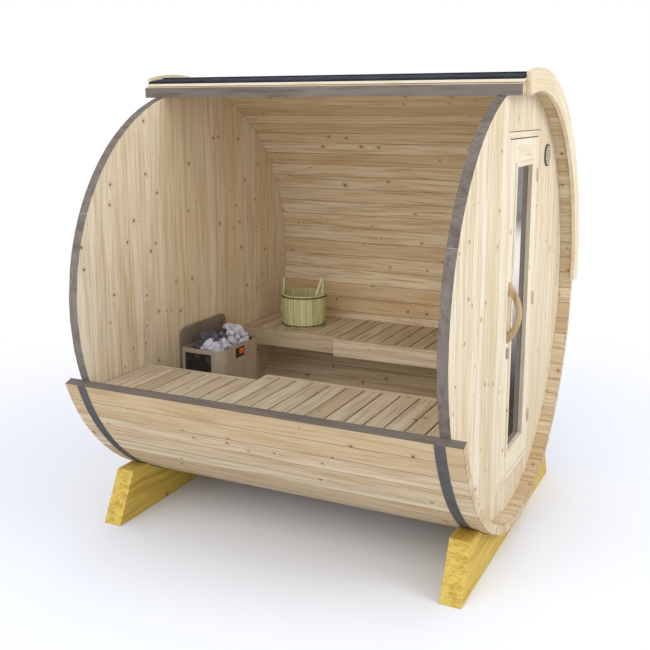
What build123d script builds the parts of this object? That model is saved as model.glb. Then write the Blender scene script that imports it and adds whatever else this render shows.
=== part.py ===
"""Barrel-shaped outdoor sauna on two cradles, shown with its near side cut open above the benches.

Millimetres. +X runs along the barrel to the door end, +Y to the closed far side, +Z up.
The origin is on the ground under the middle of the whole plan. Sizes across the barrel are
given from the barrel's axis, by the planes across(), level() and lengthways() below.
"""

import os
from math import asin, atan2, cos, degrees, radians, sin, sqrt
from random import Random

from build123d import *

# Fits
touch_gap = 0.3
door_gap = 5.0

# Barrel of flat staves
barrel_diameter = 2050.0
barrel_length = 1890.0
stave_thickness = 45.0
stave_count = 72
rim_angle = 250.0
roof_join_angle = 40.0
shell_part_angle = 35.0
roof_over_angle = -20.0
roof_cut_from_axis = 280.0

# End walls
wall_thickness = 45.0
wall_inset = 62.0

# Cradles under the barrel
cradle_thickness = 95.0
cradle_foot_half_width = 790.0
cradle_top_half_width = 672.0
cradle_height = 238.0
cradle_web = 75.0
cradle_from_end = 90.0
cradle_edge_radius = 3.0

# Steel bands
band_width = 45.0
band_thickness = 1.5
band_from_end = 94.0

# Roof covering
deck_thickness = 10.0
deck_setback = 18.0
shingle_thickness = 5.0
shingle_start_angle = -14.0
shingle_courses = 12
near_shingle_courses = 2
roof_end_angle = 92.5

# Arched trim at both ends
trim_thickness = 20.0
trim_below_shell = 65.0
trim_above_shell = 35.0
trim_start_angle = -12.5
trim_pieces = 4
trim_joint_gap = 1.0

# Doorway, door frame and leaf
doorway_width = 580.0
doorway_from_axis = 62.0
sill_above_shell = 191.0
head_below_shell = 239.0
frame_bar_width = 27.0
leaf_thickness = 40.0
stile_width = 120.0
leaf_rail_height = 122.0
glass_thickness = 8.0
glass_rebate = 10.0
bead_width = 22.0
bead_height = 6.0
stop_width = 40.0
stop_thickness = 20.0
stop_overlap = 12.0
door_edge_radius = 2.0

# Hinges
hinge_knuckle_radius = 6.0
hinge_height = 64.0
hinge_from_leaf_end = 180.0
hinge_leaf_width = 24.0
hinge_leaf_thickness = 2.0

# Bow handles and latch
pull_length = 285.0
pull_reach = 62.0
pull_width = 28.0
pull_depth = 26.0
pull_foot = 52.0
pull_edge = 5.0
pull_above_axis = -10.0
inner_pull_reach = 45.0
latch_below_axis = 195.0
latch_width = 26.0
latch_height = 52.0
latch_depth = 9.0

# Round louvred vent
vent_radius = 54.0
vent_thickness = 8.0
vent_slot_height = 5.0
vent_slots = 7
vent_from_shell = 189.7
vent_angle = 37.8

# Benches
bench_top_below_axis = 370.0
bench_board_width = 80.4
bench_board_gap = 7.5
bench_board_thickness = 28.0
bench_edge_radius = 3.0
aisle_half_width = 375.0
bench_jog_from_wall = 608.0
near_bench_setback = 97.0
far_bench_setback = 48.0
fascia_height = 68.0
fascia_thickness = 28.0
rail_width = 45.0
rail_height = 68.0
bench_wall_gap = 6.0

# Duckboard floor in the aisle
slat_width = 95.0
slat_gap = 8.0
slat_thickness = 28.0
slat_count = 7
bearer_thickness = 45.0
bearer_count = 3
bearer_inset = 140.0
floor_below_sill = 6.0

# Heater on the left end wall
heater_width = 400.0
heater_depth = 243.0
heater_above_floor = 80.0
heater_top_below_axis = 345.0
heater_across = -10.0
heater_corner_radius = 62.0
heater_sheet = 3.0
heater_window_width = 161.0
heater_window_height = 190.0
heater_window_from_back = 15.0
heater_window_below_top = 23.0
window_panel_thickness = 2.0
window_panel_margin = 8.0
back_plate_above_case = 100.0
back_plate_width = 432.0
back_plate_across = 6.0
back_plate_thickness = 6.0
back_plate_corner_radius = 45.0
back_slot_width = 5.0
back_slot_height = 84.0
back_slot_pitch = 13.0
back_slot_count = 4
back_slot_from_edge = 48.0
back_slot_below_top = 76.0
bracket_radius = 14.0
bracket_depth = 14.0

# Stones heaped in the heater
stone_bed_depth = 120.0
stone_bed_below_rim = 12.0
stone_size = 62.0
stone_width_share = 0.8
stone_height_share = 0.7
stone_layers = 2
stone_edge = 15.0
stone_rows = 5
stone_columns = 3
stone_layer_rise = 30.0
stone_tumble_angle = 40.0
stone_from_case = 10.0
mound_taper_angle = 40.0

# Bucket and ladle on the far bench
bucket_height = 190.0
bucket_top_radius = 134.0
bucket_base_radius = 124.0
bucket_stave_count = 22
bucket_wall = 11.0
bucket_floor = 14.0
bucket_from_wall = 308.0
bucket_across = 630.0
ear_height = 85.0
ear_side_angle = 84.0
hoop_thickness = 3.0
hoop_width = 7.0
hoop_from_end = 8.0
ladle_cup_radius = 42.0
ladle_cup_height = 46.0
ladle_lean = 10.0
ladle_wall = 4.0
ladle_handle_radius = 8.0
ladle_handle_length = 268.0

# Worked-out sizes
stave_angle = 360.0 / stave_count
half_stave = cos(radians(stave_angle / 2))
barrel_radius = barrel_diameter / 2
inner_apothem = barrel_radius * half_stave - stave_thickness
inner_corner_radius = inner_apothem / half_stave
wall_radius = inner_apothem - touch_gap
half_length = barrel_length / 2
band_radius = barrel_radius + touch_gap
cradle_radius = band_radius + band_thickness + touch_gap
deck_radius = cradle_radius
deck_outer_radius = deck_radius + deck_thickness
shingle_radius = deck_outer_radius + touch_gap
axis_above_ground = barrel_radius + cradle_web
trim_inner_radius = barrel_radius - trim_below_shell
trim_outer_radius = barrel_radius + trim_above_shell
rim_seam = round(rim_angle / stave_angle)
near_reach = -barrel_radius * sin(radians(rim_seam * stave_angle))
axis_from_origin = (near_reach - trim_outer_radius) / 2
wall_outer_x = half_length - wall_inset
wall_inner_x = wall_outer_x - wall_thickness
doorway_bottom = sill_above_shell - barrel_radius
doorway_top = barrel_radius - head_below_shell
doorway_height = doorway_top - doorway_bottom
doorway_middle = (doorway_top + doorway_bottom) / 2
leaf_width = doorway_width - 2 * (frame_bar_width + door_gap)
leaf_height = doorway_height - 2 * (frame_bar_width + door_gap)
glass_width = leaf_width - 2 * stile_width
glass_height = leaf_height - 2 * leaf_rail_height
vent_across = (barrel_radius - vent_from_shell) * sin(radians(vent_angle))
vent_above_axis = (barrel_radius - vent_from_shell) * cos(radians(vent_angle))
leaf_far_edge = doorway_from_axis + leaf_width / 2
hinge_x = wall_outer_x + hinge_knuckle_radius
hinge_across = leaf_far_edge + door_gap / 2
stile_middle = doorway_from_axis - leaf_width / 2 + stile_width / 2
inside_length = 2 * wall_inner_x
bench_left = -wall_inner_x
bench_jog_x = bench_left + bench_jog_from_wall
bucket_x = bench_left + bucket_from_wall
bench_top = -bench_top_below_axis
bench_bottom = bench_top - bench_board_thickness
floor_top = doorway_bottom - floor_below_sill

os.makedirs("parts", exist_ok=True)


def from_axis(x, y, z):
    """A point given from the middle of the barrel's axis."""
    return (x, axis_from_origin + y, axis_above_ground + z)


def across(x, y=0.0, z=0.0):
    """The cross-section plane at a point from the axis: its x runs to +Y and its y to +Z."""
    return Plane(origin=from_axis(x, y, z), x_dir=(0, 1, 0), z_dir=(1, 0, 0))


def level(z, x=0.0, y=0.0):
    """The level plane at a point from the axis: its x runs to +X and its y to +Y."""
    return Plane(origin=from_axis(x, y, z), x_dir=(1, 0, 0), z_dir=(0, 0, 1))


def lengthways(y, x=0.0, z=0.0):
    """The upright plane at a point from the axis, facing -Y: its x runs to +X and its y to +Z."""
    return Plane(origin=from_axis(x, y, z), x_dir=(1, 0, 0), z_dir=(0, -1, 0))


def on_circle(radius, angle):
    """A point in a cross-section, by its angle from the top towards the far side."""
    return (radius * sin(radians(angle)), radius * cos(radians(angle)))


def reach_at(radius, height):
    """Half the chord of a circle at a height from its centre."""
    return sqrt(radius**2 - height**2)


def save(part, name):
    """Labels a finished piece and writes its file."""
    part.label = name
    export_step(part, f"parts/{name}.step")


def arc_band(inner, outer, start, end):
    """A ring sector between two radii and two angles from the top."""
    middle = (start + end) / 2
    with BuildSketch() as sector:
        with BuildLine():
            ThreePointArc(on_circle(outer, start), on_circle(outer, middle), on_circle(outer, end))
            Line(on_circle(outer, end), on_circle(inner, end))
            ThreePointArc(on_circle(inner, end), on_circle(inner, middle), on_circle(inner, start))
            Line(on_circle(inner, start), on_circle(outer, start))
        make_face()
    return sector.sketch


def stave_profile(first, last):
    """The staves from one numbered seam to another, as flats with their true thickness."""
    seams = range(first, last + 1)
    outside = [on_circle(barrel_radius, seam * stave_angle) for seam in seams]
    inside = [on_circle(inner_corner_radius, seam * stave_angle) for seam in reversed(seams)]
    with BuildSketch() as staves:
        with BuildLine():
            Polyline(*outside, *inside, close=True)
        make_face()
    return staves.sketch


# Shell of staves, in segments numbered by seam from the top towards the far side
shell_segments = (
    "far_upper_staves",
    "far_middle_staves",
    "far_lower_staves",
    "bottom_far_staves",
    "bottom_near_staves",
    "near_lower_staves",
)
roof_seam = round(roof_join_angle / stave_angle)
part_staves = round(shell_part_angle / stave_angle)
for number, name in enumerate(shell_segments, start=1):
    first = roof_seam + (number - 1) * part_staves
    last = rim_seam if number == len(shell_segments) else first + part_staves
    with BuildPart() as segment:
        with BuildSketch(across(-half_length)):
            add(stave_profile(first, last))
        extrude(amount=barrel_length)
    save(segment.part, name)

# The top of the shell ends at an upright cut along its near side
with BuildPart() as roof_staves:
    with BuildSketch(across(-half_length)):
        add(stave_profile(round(roof_over_angle / stave_angle), roof_seam))
    extrude(amount=barrel_length)
    split(bisect_by=lengthways(-roof_cut_from_axis), keep=Keep.BOTTOM)
save(roof_staves.part, "roof_staves")

# Left end wall
with BuildPart() as left_end_wall:
    with BuildSketch(across(-wall_outer_x)):
        Circle(wall_radius)
    extrude(amount=wall_thickness)
save(left_end_wall.part, "left_end_wall")

# Door-end wall, split beside, over and under the doorway
beside_width = 2 * wall_radius
near_edge = doorway_from_axis - doorway_width / 2
far_edge = doorway_from_axis + doorway_width / 2
wall_pieces = {
    "door_wall_near": ((near_edge - beside_width, -beside_width), (near_edge, beside_width)),
    "door_wall_far": ((far_edge, -beside_width), (far_edge + beside_width, beside_width)),
    "door_wall_over": ((near_edge, doorway_top), (far_edge, doorway_top + beside_width)),
    "door_wall_under": ((near_edge, doorway_bottom - beside_width), (far_edge, doorway_bottom)),
}
for name, (low, high) in wall_pieces.items():
    with BuildPart() as wall_piece:
        with BuildSketch(across(wall_inner_x)):
            Circle(wall_radius)
            with Locations(((low[0] + high[0]) / 2, (low[1] + high[1]) / 2)):
                Rectangle(high[0] - low[0], high[1] - low[1], mode=Mode.INTERSECT)
        extrude(amount=wall_thickness)
        if name == "door_wall_far":
            with BuildSketch(across(wall_inner_x)):
                with Locations((vent_across, vent_above_axis)):
                    Circle(vent_radius - vent_thickness)
            extrude(amount=wall_thickness, mode=Mode.SUBTRACT)
    save(wall_piece.part, name)

# Door frame: two jambs between a head and a sill
jamb_height = doorway_height - 2 * frame_bar_width
with BuildPart() as door_jambs:
    with BuildSketch(across(wall_inner_x)):
        with Locations((doorway_from_axis, doorway_middle)):
            with GridLocations(doorway_width - frame_bar_width, 0, 2, 1):
                Rectangle(frame_bar_width, jamb_height)
    extrude(amount=wall_thickness)
save(door_jambs.part, "door_jambs")

with BuildPart() as door_head_and_sill:
    with BuildSketch(across(wall_inner_x)):
        with Locations((doorway_from_axis, doorway_middle)):
            with GridLocations(0, doorway_height - frame_bar_width, 1, 2):
                Rectangle(doorway_width, frame_bar_width)
    extrude(amount=wall_thickness)
save(door_head_and_sill.part, "door_head_and_sill")

# Stop battens on the inside of the frame, which the closed leaf comes up to
stop_span = leaf_height - 2 * stop_overlap
with BuildPart() as door_stops:
    with BuildSketch(across(wall_inner_x - stop_thickness)):
        with Locations((doorway_from_axis, doorway_middle)):
            with GridLocations(leaf_width - 2 * stop_overlap + stop_width, 0, 2, 1):
                Rectangle(stop_width, stop_span)
            with Locations((0, (stop_span + stop_width) / 2 + touch_gap)):
                Rectangle(leaf_width - 2 * stop_overlap + 2 * stop_width, stop_width)
    extrude(amount=stop_thickness)
save(door_stops.part, "door_stops")

# Door leaf: stiles and rails with a rebate for the glass
leaf_inner_x = wall_outer_x - leaf_thickness
glass_x = wall_outer_x - leaf_thickness / 2 - glass_thickness / 2

with BuildPart() as glass_groove:
    with BuildSketch(across(glass_x - touch_gap)):
        with Locations((doorway_from_axis, doorway_middle)):
            Rectangle(glass_width + 2 * glass_rebate, glass_height + 2 * glass_rebate)
    extrude(amount=glass_thickness + 2 * touch_gap)

with BuildPart() as door_stiles:
    with BuildSketch(across(leaf_inner_x)):
        with Locations((doorway_from_axis, doorway_middle)):
            with GridLocations(leaf_width - stile_width, 0, 2, 1):
                Rectangle(stile_width, leaf_height)
    extrude(amount=leaf_thickness)
    chamfer(door_stiles.faces().sort_by(Axis.X)[-2:].edges().filter_by(Axis.Z), door_edge_radius)
    add(glass_groove.part, mode=Mode.SUBTRACT)
save(door_stiles.part, "door_stiles")

with BuildPart() as door_rails:
    with BuildSketch(across(leaf_inner_x)):
        with Locations((doorway_from_axis, doorway_middle)):
            with GridLocations(0, leaf_height - leaf_rail_height, 1, 2):
                Rectangle(glass_width, leaf_rail_height)
    extrude(amount=leaf_thickness)
    add(glass_groove.part, mode=Mode.SUBTRACT)
save(door_rails.part, "door_rails")

with BuildPart() as door_glass:
    with BuildSketch(across(glass_x)):
        with Locations((doorway_from_axis, doorway_middle)):
            Rectangle(
                glass_width + 2 * (glass_rebate - touch_gap),
                glass_height + 2 * (glass_rebate - touch_gap),
            )
    extrude(amount=glass_thickness)
save(door_glass.part, "door_glass")

# Glazing bead round the glass, standing proud of the leaf
with BuildPart() as door_bead:
    with BuildSketch(across(wall_outer_x)):
        with Locations((doorway_from_axis, doorway_middle)):
            Rectangle(glass_width + 2 * bead_width, glass_height + 2 * bead_width)
            Rectangle(glass_width, glass_height, mode=Mode.SUBTRACT)
    extrude(amount=bead_height)
    chamfer(door_bead.faces().sort_by(Axis.X)[-1].outer_wire().edges(), bead_height / 2)
save(door_bead.part, "door_bead")


# Bow handles, one on each side of the near stile
def bow_pull(face_x, outward, reach):
    """Builds a bow of even section with its feet flat on the leaf."""
    half = pull_length / 2
    foot = half - pull_foot
    with BuildPart() as pull:
        with BuildSketch(lengthways(stile_middle + pull_width / 2, face_x, pull_above_axis)):
            with BuildLine():
                ThreePointArc((0, half), (outward * reach, 0), (0, -half))
                Line((0, -half), (0, -foot))
                ThreePointArc((0, -foot), (outward * (reach - pull_depth), 0), (0, foot))
                Line((0, foot), (0, half))
            make_face()
        extrude(amount=pull_width)
        sides = pull.faces().group_by(Axis.Y)
        bows = (sides[0] + sides[-1]).edges().filter_by(GeomType.CIRCLE)
        chamfer(bows, pull_edge)
    return pull.part


save(bow_pull(wall_outer_x, 1, pull_reach), "outer_pull")
save(bow_pull(leaf_inner_x, -1, inner_pull_reach), "inner_pull")

# Oval latch plate under the outer handle
with BuildPart() as door_latch:
    with BuildSketch(across(wall_outer_x)):
        with Locations((stile_middle, -latch_below_axis)):
            SlotOverall(latch_height, latch_width, rotation=90)
    extrude(amount=latch_depth)
    fillet(door_latch.faces().sort_by(Axis.X)[-1].edges(), latch_depth / 3)
save(door_latch.part, "door_latch")

# Hinges: the knuckle and its leaf ride on the door, the pin socket stays on the jamb
hinge_heights = [
    doorway_middle + side * (leaf_height / 2 - hinge_from_leaf_end) for side in (-1, 0, 1)
]
with BuildPart() as door_hinges:
    for height in hinge_heights:
        with BuildSketch(level(height)):
            with Locations((hinge_x, hinge_across)):
                Circle(hinge_knuckle_radius)
            with Locations((wall_outer_x, leaf_far_edge)):
                Rectangle(hinge_leaf_thickness, hinge_leaf_width, align=(Align.MIN, Align.MAX))
            with Locations((wall_outer_x, leaf_far_edge)):
                Rectangle(hinge_knuckle_radius, door_gap / 2, align=(Align.MIN, Align.MIN))
        extrude(amount=hinge_height / 2)
save(door_hinges.part, "door_hinges")

with BuildPart() as jamb_hinges:
    for height in hinge_heights:
        with BuildSketch(level(height - hinge_height / 2)):
            with Locations((hinge_x, hinge_across)):
                Circle(hinge_knuckle_radius)
            with Locations((wall_outer_x, leaf_far_edge + door_gap)):
                Rectangle(hinge_leaf_thickness, hinge_leaf_width, align=(Align.MIN, Align.MIN))
            with Locations((wall_outer_x, leaf_far_edge + door_gap)):
                Rectangle(hinge_knuckle_radius, door_gap / 2, align=(Align.MIN, Align.MAX))
        extrude(amount=hinge_height / 2 - touch_gap)
save(jamb_hinges.part, "jamb_hinges")

# Round vent: a flanged ring with slanted louvres across it
with BuildPart() as wall_vent:
    with BuildSketch(across(wall_outer_x + touch_gap)):
        with Locations((vent_across, vent_above_axis)):
            Circle(vent_radius)
    extrude(amount=vent_thickness)
    chamfer(wall_vent.faces().sort_by(Axis.X)[-1].edges(), vent_thickness / 3)
    with BuildSketch(across(wall_outer_x + touch_gap)):
        with Locations((vent_across, vent_above_axis)):
            Circle(vent_radius - 2 * vent_thickness)
            with GridLocations(0, 2 * vent_slot_height, 1, vent_slots + 1):
                Rectangle(2 * vent_radius, vent_slot_height, mode=Mode.SUBTRACT)
    extrude(amount=vent_thickness, mode=Mode.SUBTRACT)
save(wall_vent.part, "wall_vent")

# Steel bands from the rim round under the barrel and up to the roof's edge
for name, side in (("band_left", -1), ("band_right", 1)):
    with BuildPart() as band:
        with BuildSketch(across(side * (half_length - band_from_end) - band_width / 2)):
            end = rim_seam * stave_angle
            add(arc_band(band_radius, band_radius + band_thickness, roof_end_angle, end))
        extrude(amount=band_width)
    save(band.part, name)

# Cradles: tapered beams with a round seat for the barrel
for name, side in (("cradle_left", -1), ("cradle_right", 1)):
    with BuildPart() as cradle:
        with BuildSketch(across(side * (half_length - cradle_from_end) - cradle_thickness / 2)):
            foot = -axis_above_ground
            top = foot + cradle_height
            with BuildLine():
                Polyline(
                    (-cradle_foot_half_width, foot),
                    (cradle_foot_half_width, foot),
                    (cradle_top_half_width, top),
                    (-cradle_top_half_width, top),
                    close=True,
                )
            make_face()
            Circle(cradle_radius, mode=Mode.SUBTRACT)
        extrude(amount=cradle_thickness)
        ends = cradle.edges().filter_by(Axis.Z, reverse=True).filter_by(GeomType.LINE)
        chamfer(ends.filter_by(Axis.X, reverse=True).filter_by(Axis.Y, reverse=True), cradle_edge_radius)
    save(cradle.part, name)

# Roof boards over the staves
with BuildPart() as roof_deck:
    with BuildSketch(across(-half_length)):
        add(arc_band(deck_radius, deck_outer_radius, trim_start_angle - stave_angle, roof_end_angle))
        with Locations((deck_setback - roof_cut_from_axis, 0)):
            Rectangle(
                2 * trim_outer_radius,
                2 * trim_outer_radius,
                align=(Align.MIN, Align.CENTER),
                mode=Mode.INTERSECT,
            )
    extrude(amount=barrel_length)
save(roof_deck.part, "roof_deck")

# Shingles: courses that lap like scales, each one thicker at its lower edge
course_angle = roof_end_angle / shingle_courses
thin = shingle_radius + shingle_thickness
thick = thin + shingle_thickness
near_course_angle = shingle_start_angle / near_shingle_courses
outline = [on_circle(shingle_radius, shingle_start_angle)]
for course in range(near_shingle_courses, 0, -1):
    outline.append(on_circle(thick, course * near_course_angle))
    outline.append(on_circle(thin, (course - 1) * near_course_angle))
for course in range(1, shingle_courses + 1):
    outline.append(on_circle(thick, course * course_angle))
    outline.append(on_circle(thin, course * course_angle))
outline.pop()
outline.append(on_circle(shingle_radius, roof_end_angle))
with BuildPart() as roof_shingles:
    with BuildSketch(across(-half_length)):
        with BuildLine():
            Polyline(*outline)
            middle_angle = (shingle_start_angle + roof_end_angle) / 2
            ThreePointArc(outline[-1], on_circle(shingle_radius, middle_angle), outline[0])
        make_face()
    extrude(amount=barrel_length)
save(roof_shingles.part, "roof_shingles")

# Arched trim boards over the ends of the staves and the roof
trim_angle = (roof_end_angle - trim_start_angle) / trim_pieces
trim_joint_angle = degrees(trim_joint_gap / trim_inner_radius)
for name, face_x in (
    ("trim_left", -half_length - trim_thickness - touch_gap),
    ("trim_right", half_length + touch_gap),
):
    with BuildPart() as trim:
        for piece in range(trim_pieces):
            start = trim_start_angle + piece * trim_angle
            with BuildSketch(across(face_x)):
                end = start + trim_angle - trim_joint_angle
                add(arc_band(trim_inner_radius, trim_outer_radius, start, end))
            extrude(amount=trim_thickness)
    save(trim.part, name)

# Bench boards laid across, from the shell to the aisle, shorter beside the heater
bench_pitch = bench_board_width + bench_board_gap
bench_boards_count = int((inside_length - 2 * bench_wall_gap + bench_board_gap) // bench_pitch)
shell_reach = reach_at(inner_apothem, bench_bottom) - bench_wall_gap
for name, side, setback in (
    ("near_bench_boards", -1, near_bench_setback),
    ("far_bench_boards", 1, far_bench_setback),
):
    with BuildPart() as boards:
        for number in range(bench_boards_count):
            middle = wall_inner_x - bench_wall_gap - bench_board_width / 2 - number * bench_pitch
            inner = aisle_half_width + (setback if middle < bench_jog_x else 0.0)
            with BuildSketch(level(bench_bottom)):
                with Locations((middle, side * (shell_reach + inner) / 2)):
                    Rectangle(bench_board_width, shell_reach - inner)
            extrude(amount=bench_board_thickness)
        chamfer(boards.faces().group_by(Axis.Z)[-1].edges(), bench_edge_radius)
    save(boards.part, name)

# Fascia boards under the front ends of the bench boards
jog_board = round((wall_inner_x - bench_wall_gap - bench_jog_x) / bench_pitch)
jog_x = wall_inner_x - bench_wall_gap - jog_board * bench_pitch + bench_board_gap / 2
for name, side, setback in (
    ("near_bench_fascia", -1, near_bench_setback),
    ("far_bench_fascia", 1, far_bench_setback),
):
    with BuildPart() as fascia:
        for start, end, back in (
            (bench_left + touch_gap, jog_x - touch_gap, setback),
            (jog_x, wall_inner_x - touch_gap, 0.0),
        ):
            with BuildSketch(level(bench_bottom - fascia_height)):
                with Locations(((start + end) / 2, side * (aisle_half_width + back + fascia_thickness / 2))):
                    Rectangle(end - start, fascia_thickness)
            extrude(amount=fascia_height)
    save(fascia.part, name)

# Rails under the bench boards, from wall to wall
with BuildPart() as bench_rails:
    rail_bottom = bench_bottom - rail_height
    rail_back = reach_at(inner_apothem, rail_bottom) - bench_wall_gap - rail_width / 2
    for side, setback in ((-1, near_bench_setback), (1, far_bench_setback)):
        rail_front = aisle_half_width + setback + fascia_thickness + touch_gap + rail_width / 2
        for distance in (rail_front, rail_back):
            with BuildSketch(level(rail_bottom)):
                with Locations((0, side * distance)):
                    Rectangle(inside_length - 2 * touch_gap, rail_width)
            extrude(amount=rail_height)
save(bench_rails.part, "bench_rails")

# Duckboard: slats along the aisle on bearers cut to the curve of the staves
slat_pitch = slat_width + slat_gap
with BuildPart() as floor_slats:
    with BuildSketch(level(floor_top - slat_thickness)):
        with GridLocations(0, slat_pitch, 1, slat_count):
            Rectangle(inside_length - 2 * bench_wall_gap, slat_width)
    extrude(amount=slat_thickness)
    chamfer(floor_slats.faces().group_by(Axis.Z)[-1].edges(), bench_edge_radius)
save(floor_slats.part, "floor_slats")

bearer_top = floor_top - slat_thickness
bearer_half_width = slat_count * slat_pitch / 2
with BuildPart() as floor_bearers:
    bearer_reach = inside_length / 2 - bearer_inset
    for number in range(bearer_count):
        x = -bearer_reach + number * 2 * bearer_reach / (bearer_count - 1)
        with BuildSketch(across(x - bearer_thickness / 2)):
            Circle(inner_apothem - touch_gap)
            with Locations((0, bearer_top)):
                Rectangle(
                    2 * bearer_half_width,
                    2 * barrel_radius,
                    align=(Align.CENTER, Align.MAX),
                    mode=Mode.INTERSECT,
                )
        extrude(amount=bearer_thickness)
save(floor_bearers.part, "floor_bearers")

# Heater: a folded sheet case, open at the top for the stones, with a window in each side
heater_back_x = bench_left + bracket_depth
heater_top = -heater_top_below_axis
heater_bottom = floor_top + heater_above_floor
heater_height = heater_top - heater_bottom
case_back_x = heater_back_x + back_plate_thickness
window_top = heater_top - heater_window_below_top
window_middle_x = case_back_x + heater_window_from_back + heater_window_width / 2
with BuildPart() as heater_case:
    with BuildSketch(level(heater_bottom)):
        with Locations((case_back_x + heater_depth / 2, heater_across)):
            Rectangle(heater_depth, heater_width)
    extrude(amount=heater_height)
    fillet(heater_case.edges().filter_by(Axis.Z).group_by(Axis.X)[-1], heater_corner_radius)
    top_face = heater_case.faces().sort_by(Axis.Z)[-1]
    offset(amount=-heater_sheet, openings=top_face)
    with BuildSketch(lengthways(heater_across + heater_width)):
        with Locations((window_middle_x, window_top)):
            Rectangle(
                heater_window_width,
                heater_window_height,
                align=(Align.CENTER, Align.MAX),
            )
    extrude(amount=2 * heater_width, mode=Mode.SUBTRACT)
save(heater_case.part, "heater_case")

# Slotted back plate on its brackets, and the dark panels behind the case's windows
back_plate_top = heater_top + back_plate_above_case
back_plate_height = back_plate_top - heater_bottom
plate_far_edge = back_plate_across + back_plate_width / 2
panel_side = heater_width / 2 - heater_sheet - touch_gap
with BuildPart() as heater_back_plate:
    with BuildSketch(across(heater_back_x)):
        with Locations((back_plate_across, heater_bottom + back_plate_height / 2)):
            RectangleRounded(back_plate_width, back_plate_height, back_plate_corner_radius)
        with Locations((plate_far_edge - back_slot_from_edge, back_plate_top - back_slot_below_top)):
            with GridLocations(back_slot_pitch, 0, back_slot_count, 1):
                SlotOverall(back_slot_height, back_slot_width, rotation=90, mode=Mode.SUBTRACT)
    extrude(amount=back_plate_thickness)
    with BuildSketch(across(bench_left)):
        with Locations((back_plate_across, heater_bottom + back_plate_height / 2)):
            with GridLocations(back_plate_width / 2, back_plate_height / 2, 2, 2):
                Circle(bracket_radius)
    extrude(amount=bracket_depth)
    for side, outer in ((-1, -panel_side), (1, panel_side - window_panel_thickness)):
        with BuildSketch(lengthways(heater_across + outer + window_panel_thickness)):
            with Locations((window_middle_x, window_top + window_panel_margin)):
                Rectangle(
                    heater_window_width + 2 * window_panel_margin,
                    heater_window_height + 2 * window_panel_margin,
                    align=(Align.CENTER, Align.MAX),
                )
        extrude(amount=window_panel_thickness)
save(heater_back_plate.part, "heater_back_plate")

# Stones: broken blocks with chamfered edges, tumbled in layers on a bed that fills the case
heap_x = case_back_x + heater_depth / 2
heap_base = heater_top - stone_bed_below_rim
bed_depth = heater_depth - 2 * (heater_sheet + touch_gap)
bed_width = 2 * (panel_side - window_panel_thickness - touch_gap)
tumble = Random(stone_rows * stone_columns)
with BuildPart() as stone:
    Box(stone_size, stone_width_share * stone_size, stone_height_share * stone_size)
    chamfer(stone.edges(), stone_edge)

with BuildPart() as heater_stones:
    with BuildSketch(level(heap_base - stone_bed_depth)):
        with Locations((heap_x, heater_across)):
            RectangleRounded(bed_depth, bed_width, heater_corner_radius)
    extrude(amount=stone_bed_depth)
    with BuildSketch(level(heap_base)):
        with Locations((heap_x, heater_across)):
            Rectangle(bed_depth - stone_size, bed_width - stone_size)
    extrude(amount=stone_layer_rise, taper=mound_taper_angle)
    for layer in range(stone_layers):
        clear = (1 + layer) * stone_size + 2 * stone_from_case
        row_pitch = (bed_width - clear) / (stone_rows - 1 - layer)
        column_pitch = (bed_depth - clear) / (stone_columns - 1 - layer)
        height = heap_base + stone_size / 4 + layer * stone_layer_rise
        for spot in GridLocations(column_pitch, row_pitch, stone_columns - layer, stone_rows - layer):
            place = from_axis(heap_x + spot.position.X, heater_across + spot.position.Y, height)
            turns = [tumble.uniform(-stone_tumble_angle, stone_tumble_angle) for _ in range(3)]
            with Locations(Location(place, turns)):
                add(stone.part)
save(heater_stones.part, "heater_stones")

# Bucket of tapered staves, with two taller ones for the ears
base = bench_top + touch_gap
bucket_foot = (bucket_across, bucket_x, base)
bucket_axis = Axis(from_axis(bucket_x, bucket_across, base), (0, 0, 1))
bucket_slope = (bucket_top_radius - bucket_base_radius) / bucket_height
flat_turn = 180 / bucket_stave_count
flat_share = cos(radians(flat_turn))
bucket_stave_width = 2 * bucket_top_radius * sin(radians(flat_turn))
ear_inner_x = bucket_top_radius * flat_share - bucket_wall
with BuildPart() as bucket:
    for height, radius in ((0, bucket_base_radius), (bucket_height, bucket_top_radius)):
        with BuildSketch(level(base + height, bucket_x, bucket_across)):
            RegularPolygon(radius, bucket_stave_count, rotation=flat_turn)
    loft()
    inside_foot = bucket_base_radius + bucket_slope * bucket_floor - bucket_wall
    inside_top = bucket_top_radius - bucket_wall
    for height, radius in ((bucket_floor, inside_foot), (bucket_height, inside_top)):
        with BuildSketch(level(base + height, bucket_x, bucket_across)):
            RegularPolygon(radius, bucket_stave_count, rotation=flat_turn)
    loft(mode=Mode.SUBTRACT)
    for side in (-1, 1):
        inner = side * (ear_inner_x + bucket_wall / 2) - bucket_wall / 2
        with BuildSketch(across(bucket_x + inner, bucket_across, base + bucket_height)):
            Trapezoid(
                bucket_stave_width,
                ear_height,
                ear_side_angle,
                align=(Align.CENTER, Align.MIN),
            )
        extrude(amount=bucket_wall)
save(bucket.part, "bucket")

# Two thin hoops, one under the rim and one at the foot
with BuildPart() as bucket_hoops:
    for low in (hoop_from_end, bucket_height - hoop_from_end - hoop_width):
        radius = bucket_base_radius + bucket_slope * low + touch_gap
        with BuildSketch(lengthways(*bucket_foot)):
            with BuildLine():
                Polyline(
                    (radius, low),
                    (radius + hoop_thickness, low),
                    (radius + hoop_thickness + bucket_slope * hoop_width, low + hoop_width),
                    (radius + bucket_slope * hoop_width, low + hoop_width),
                    close=True,
                )
            make_face()
        revolve(axis=bucket_axis)
save(bucket_hoops.part, "bucket_hoops")

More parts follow.
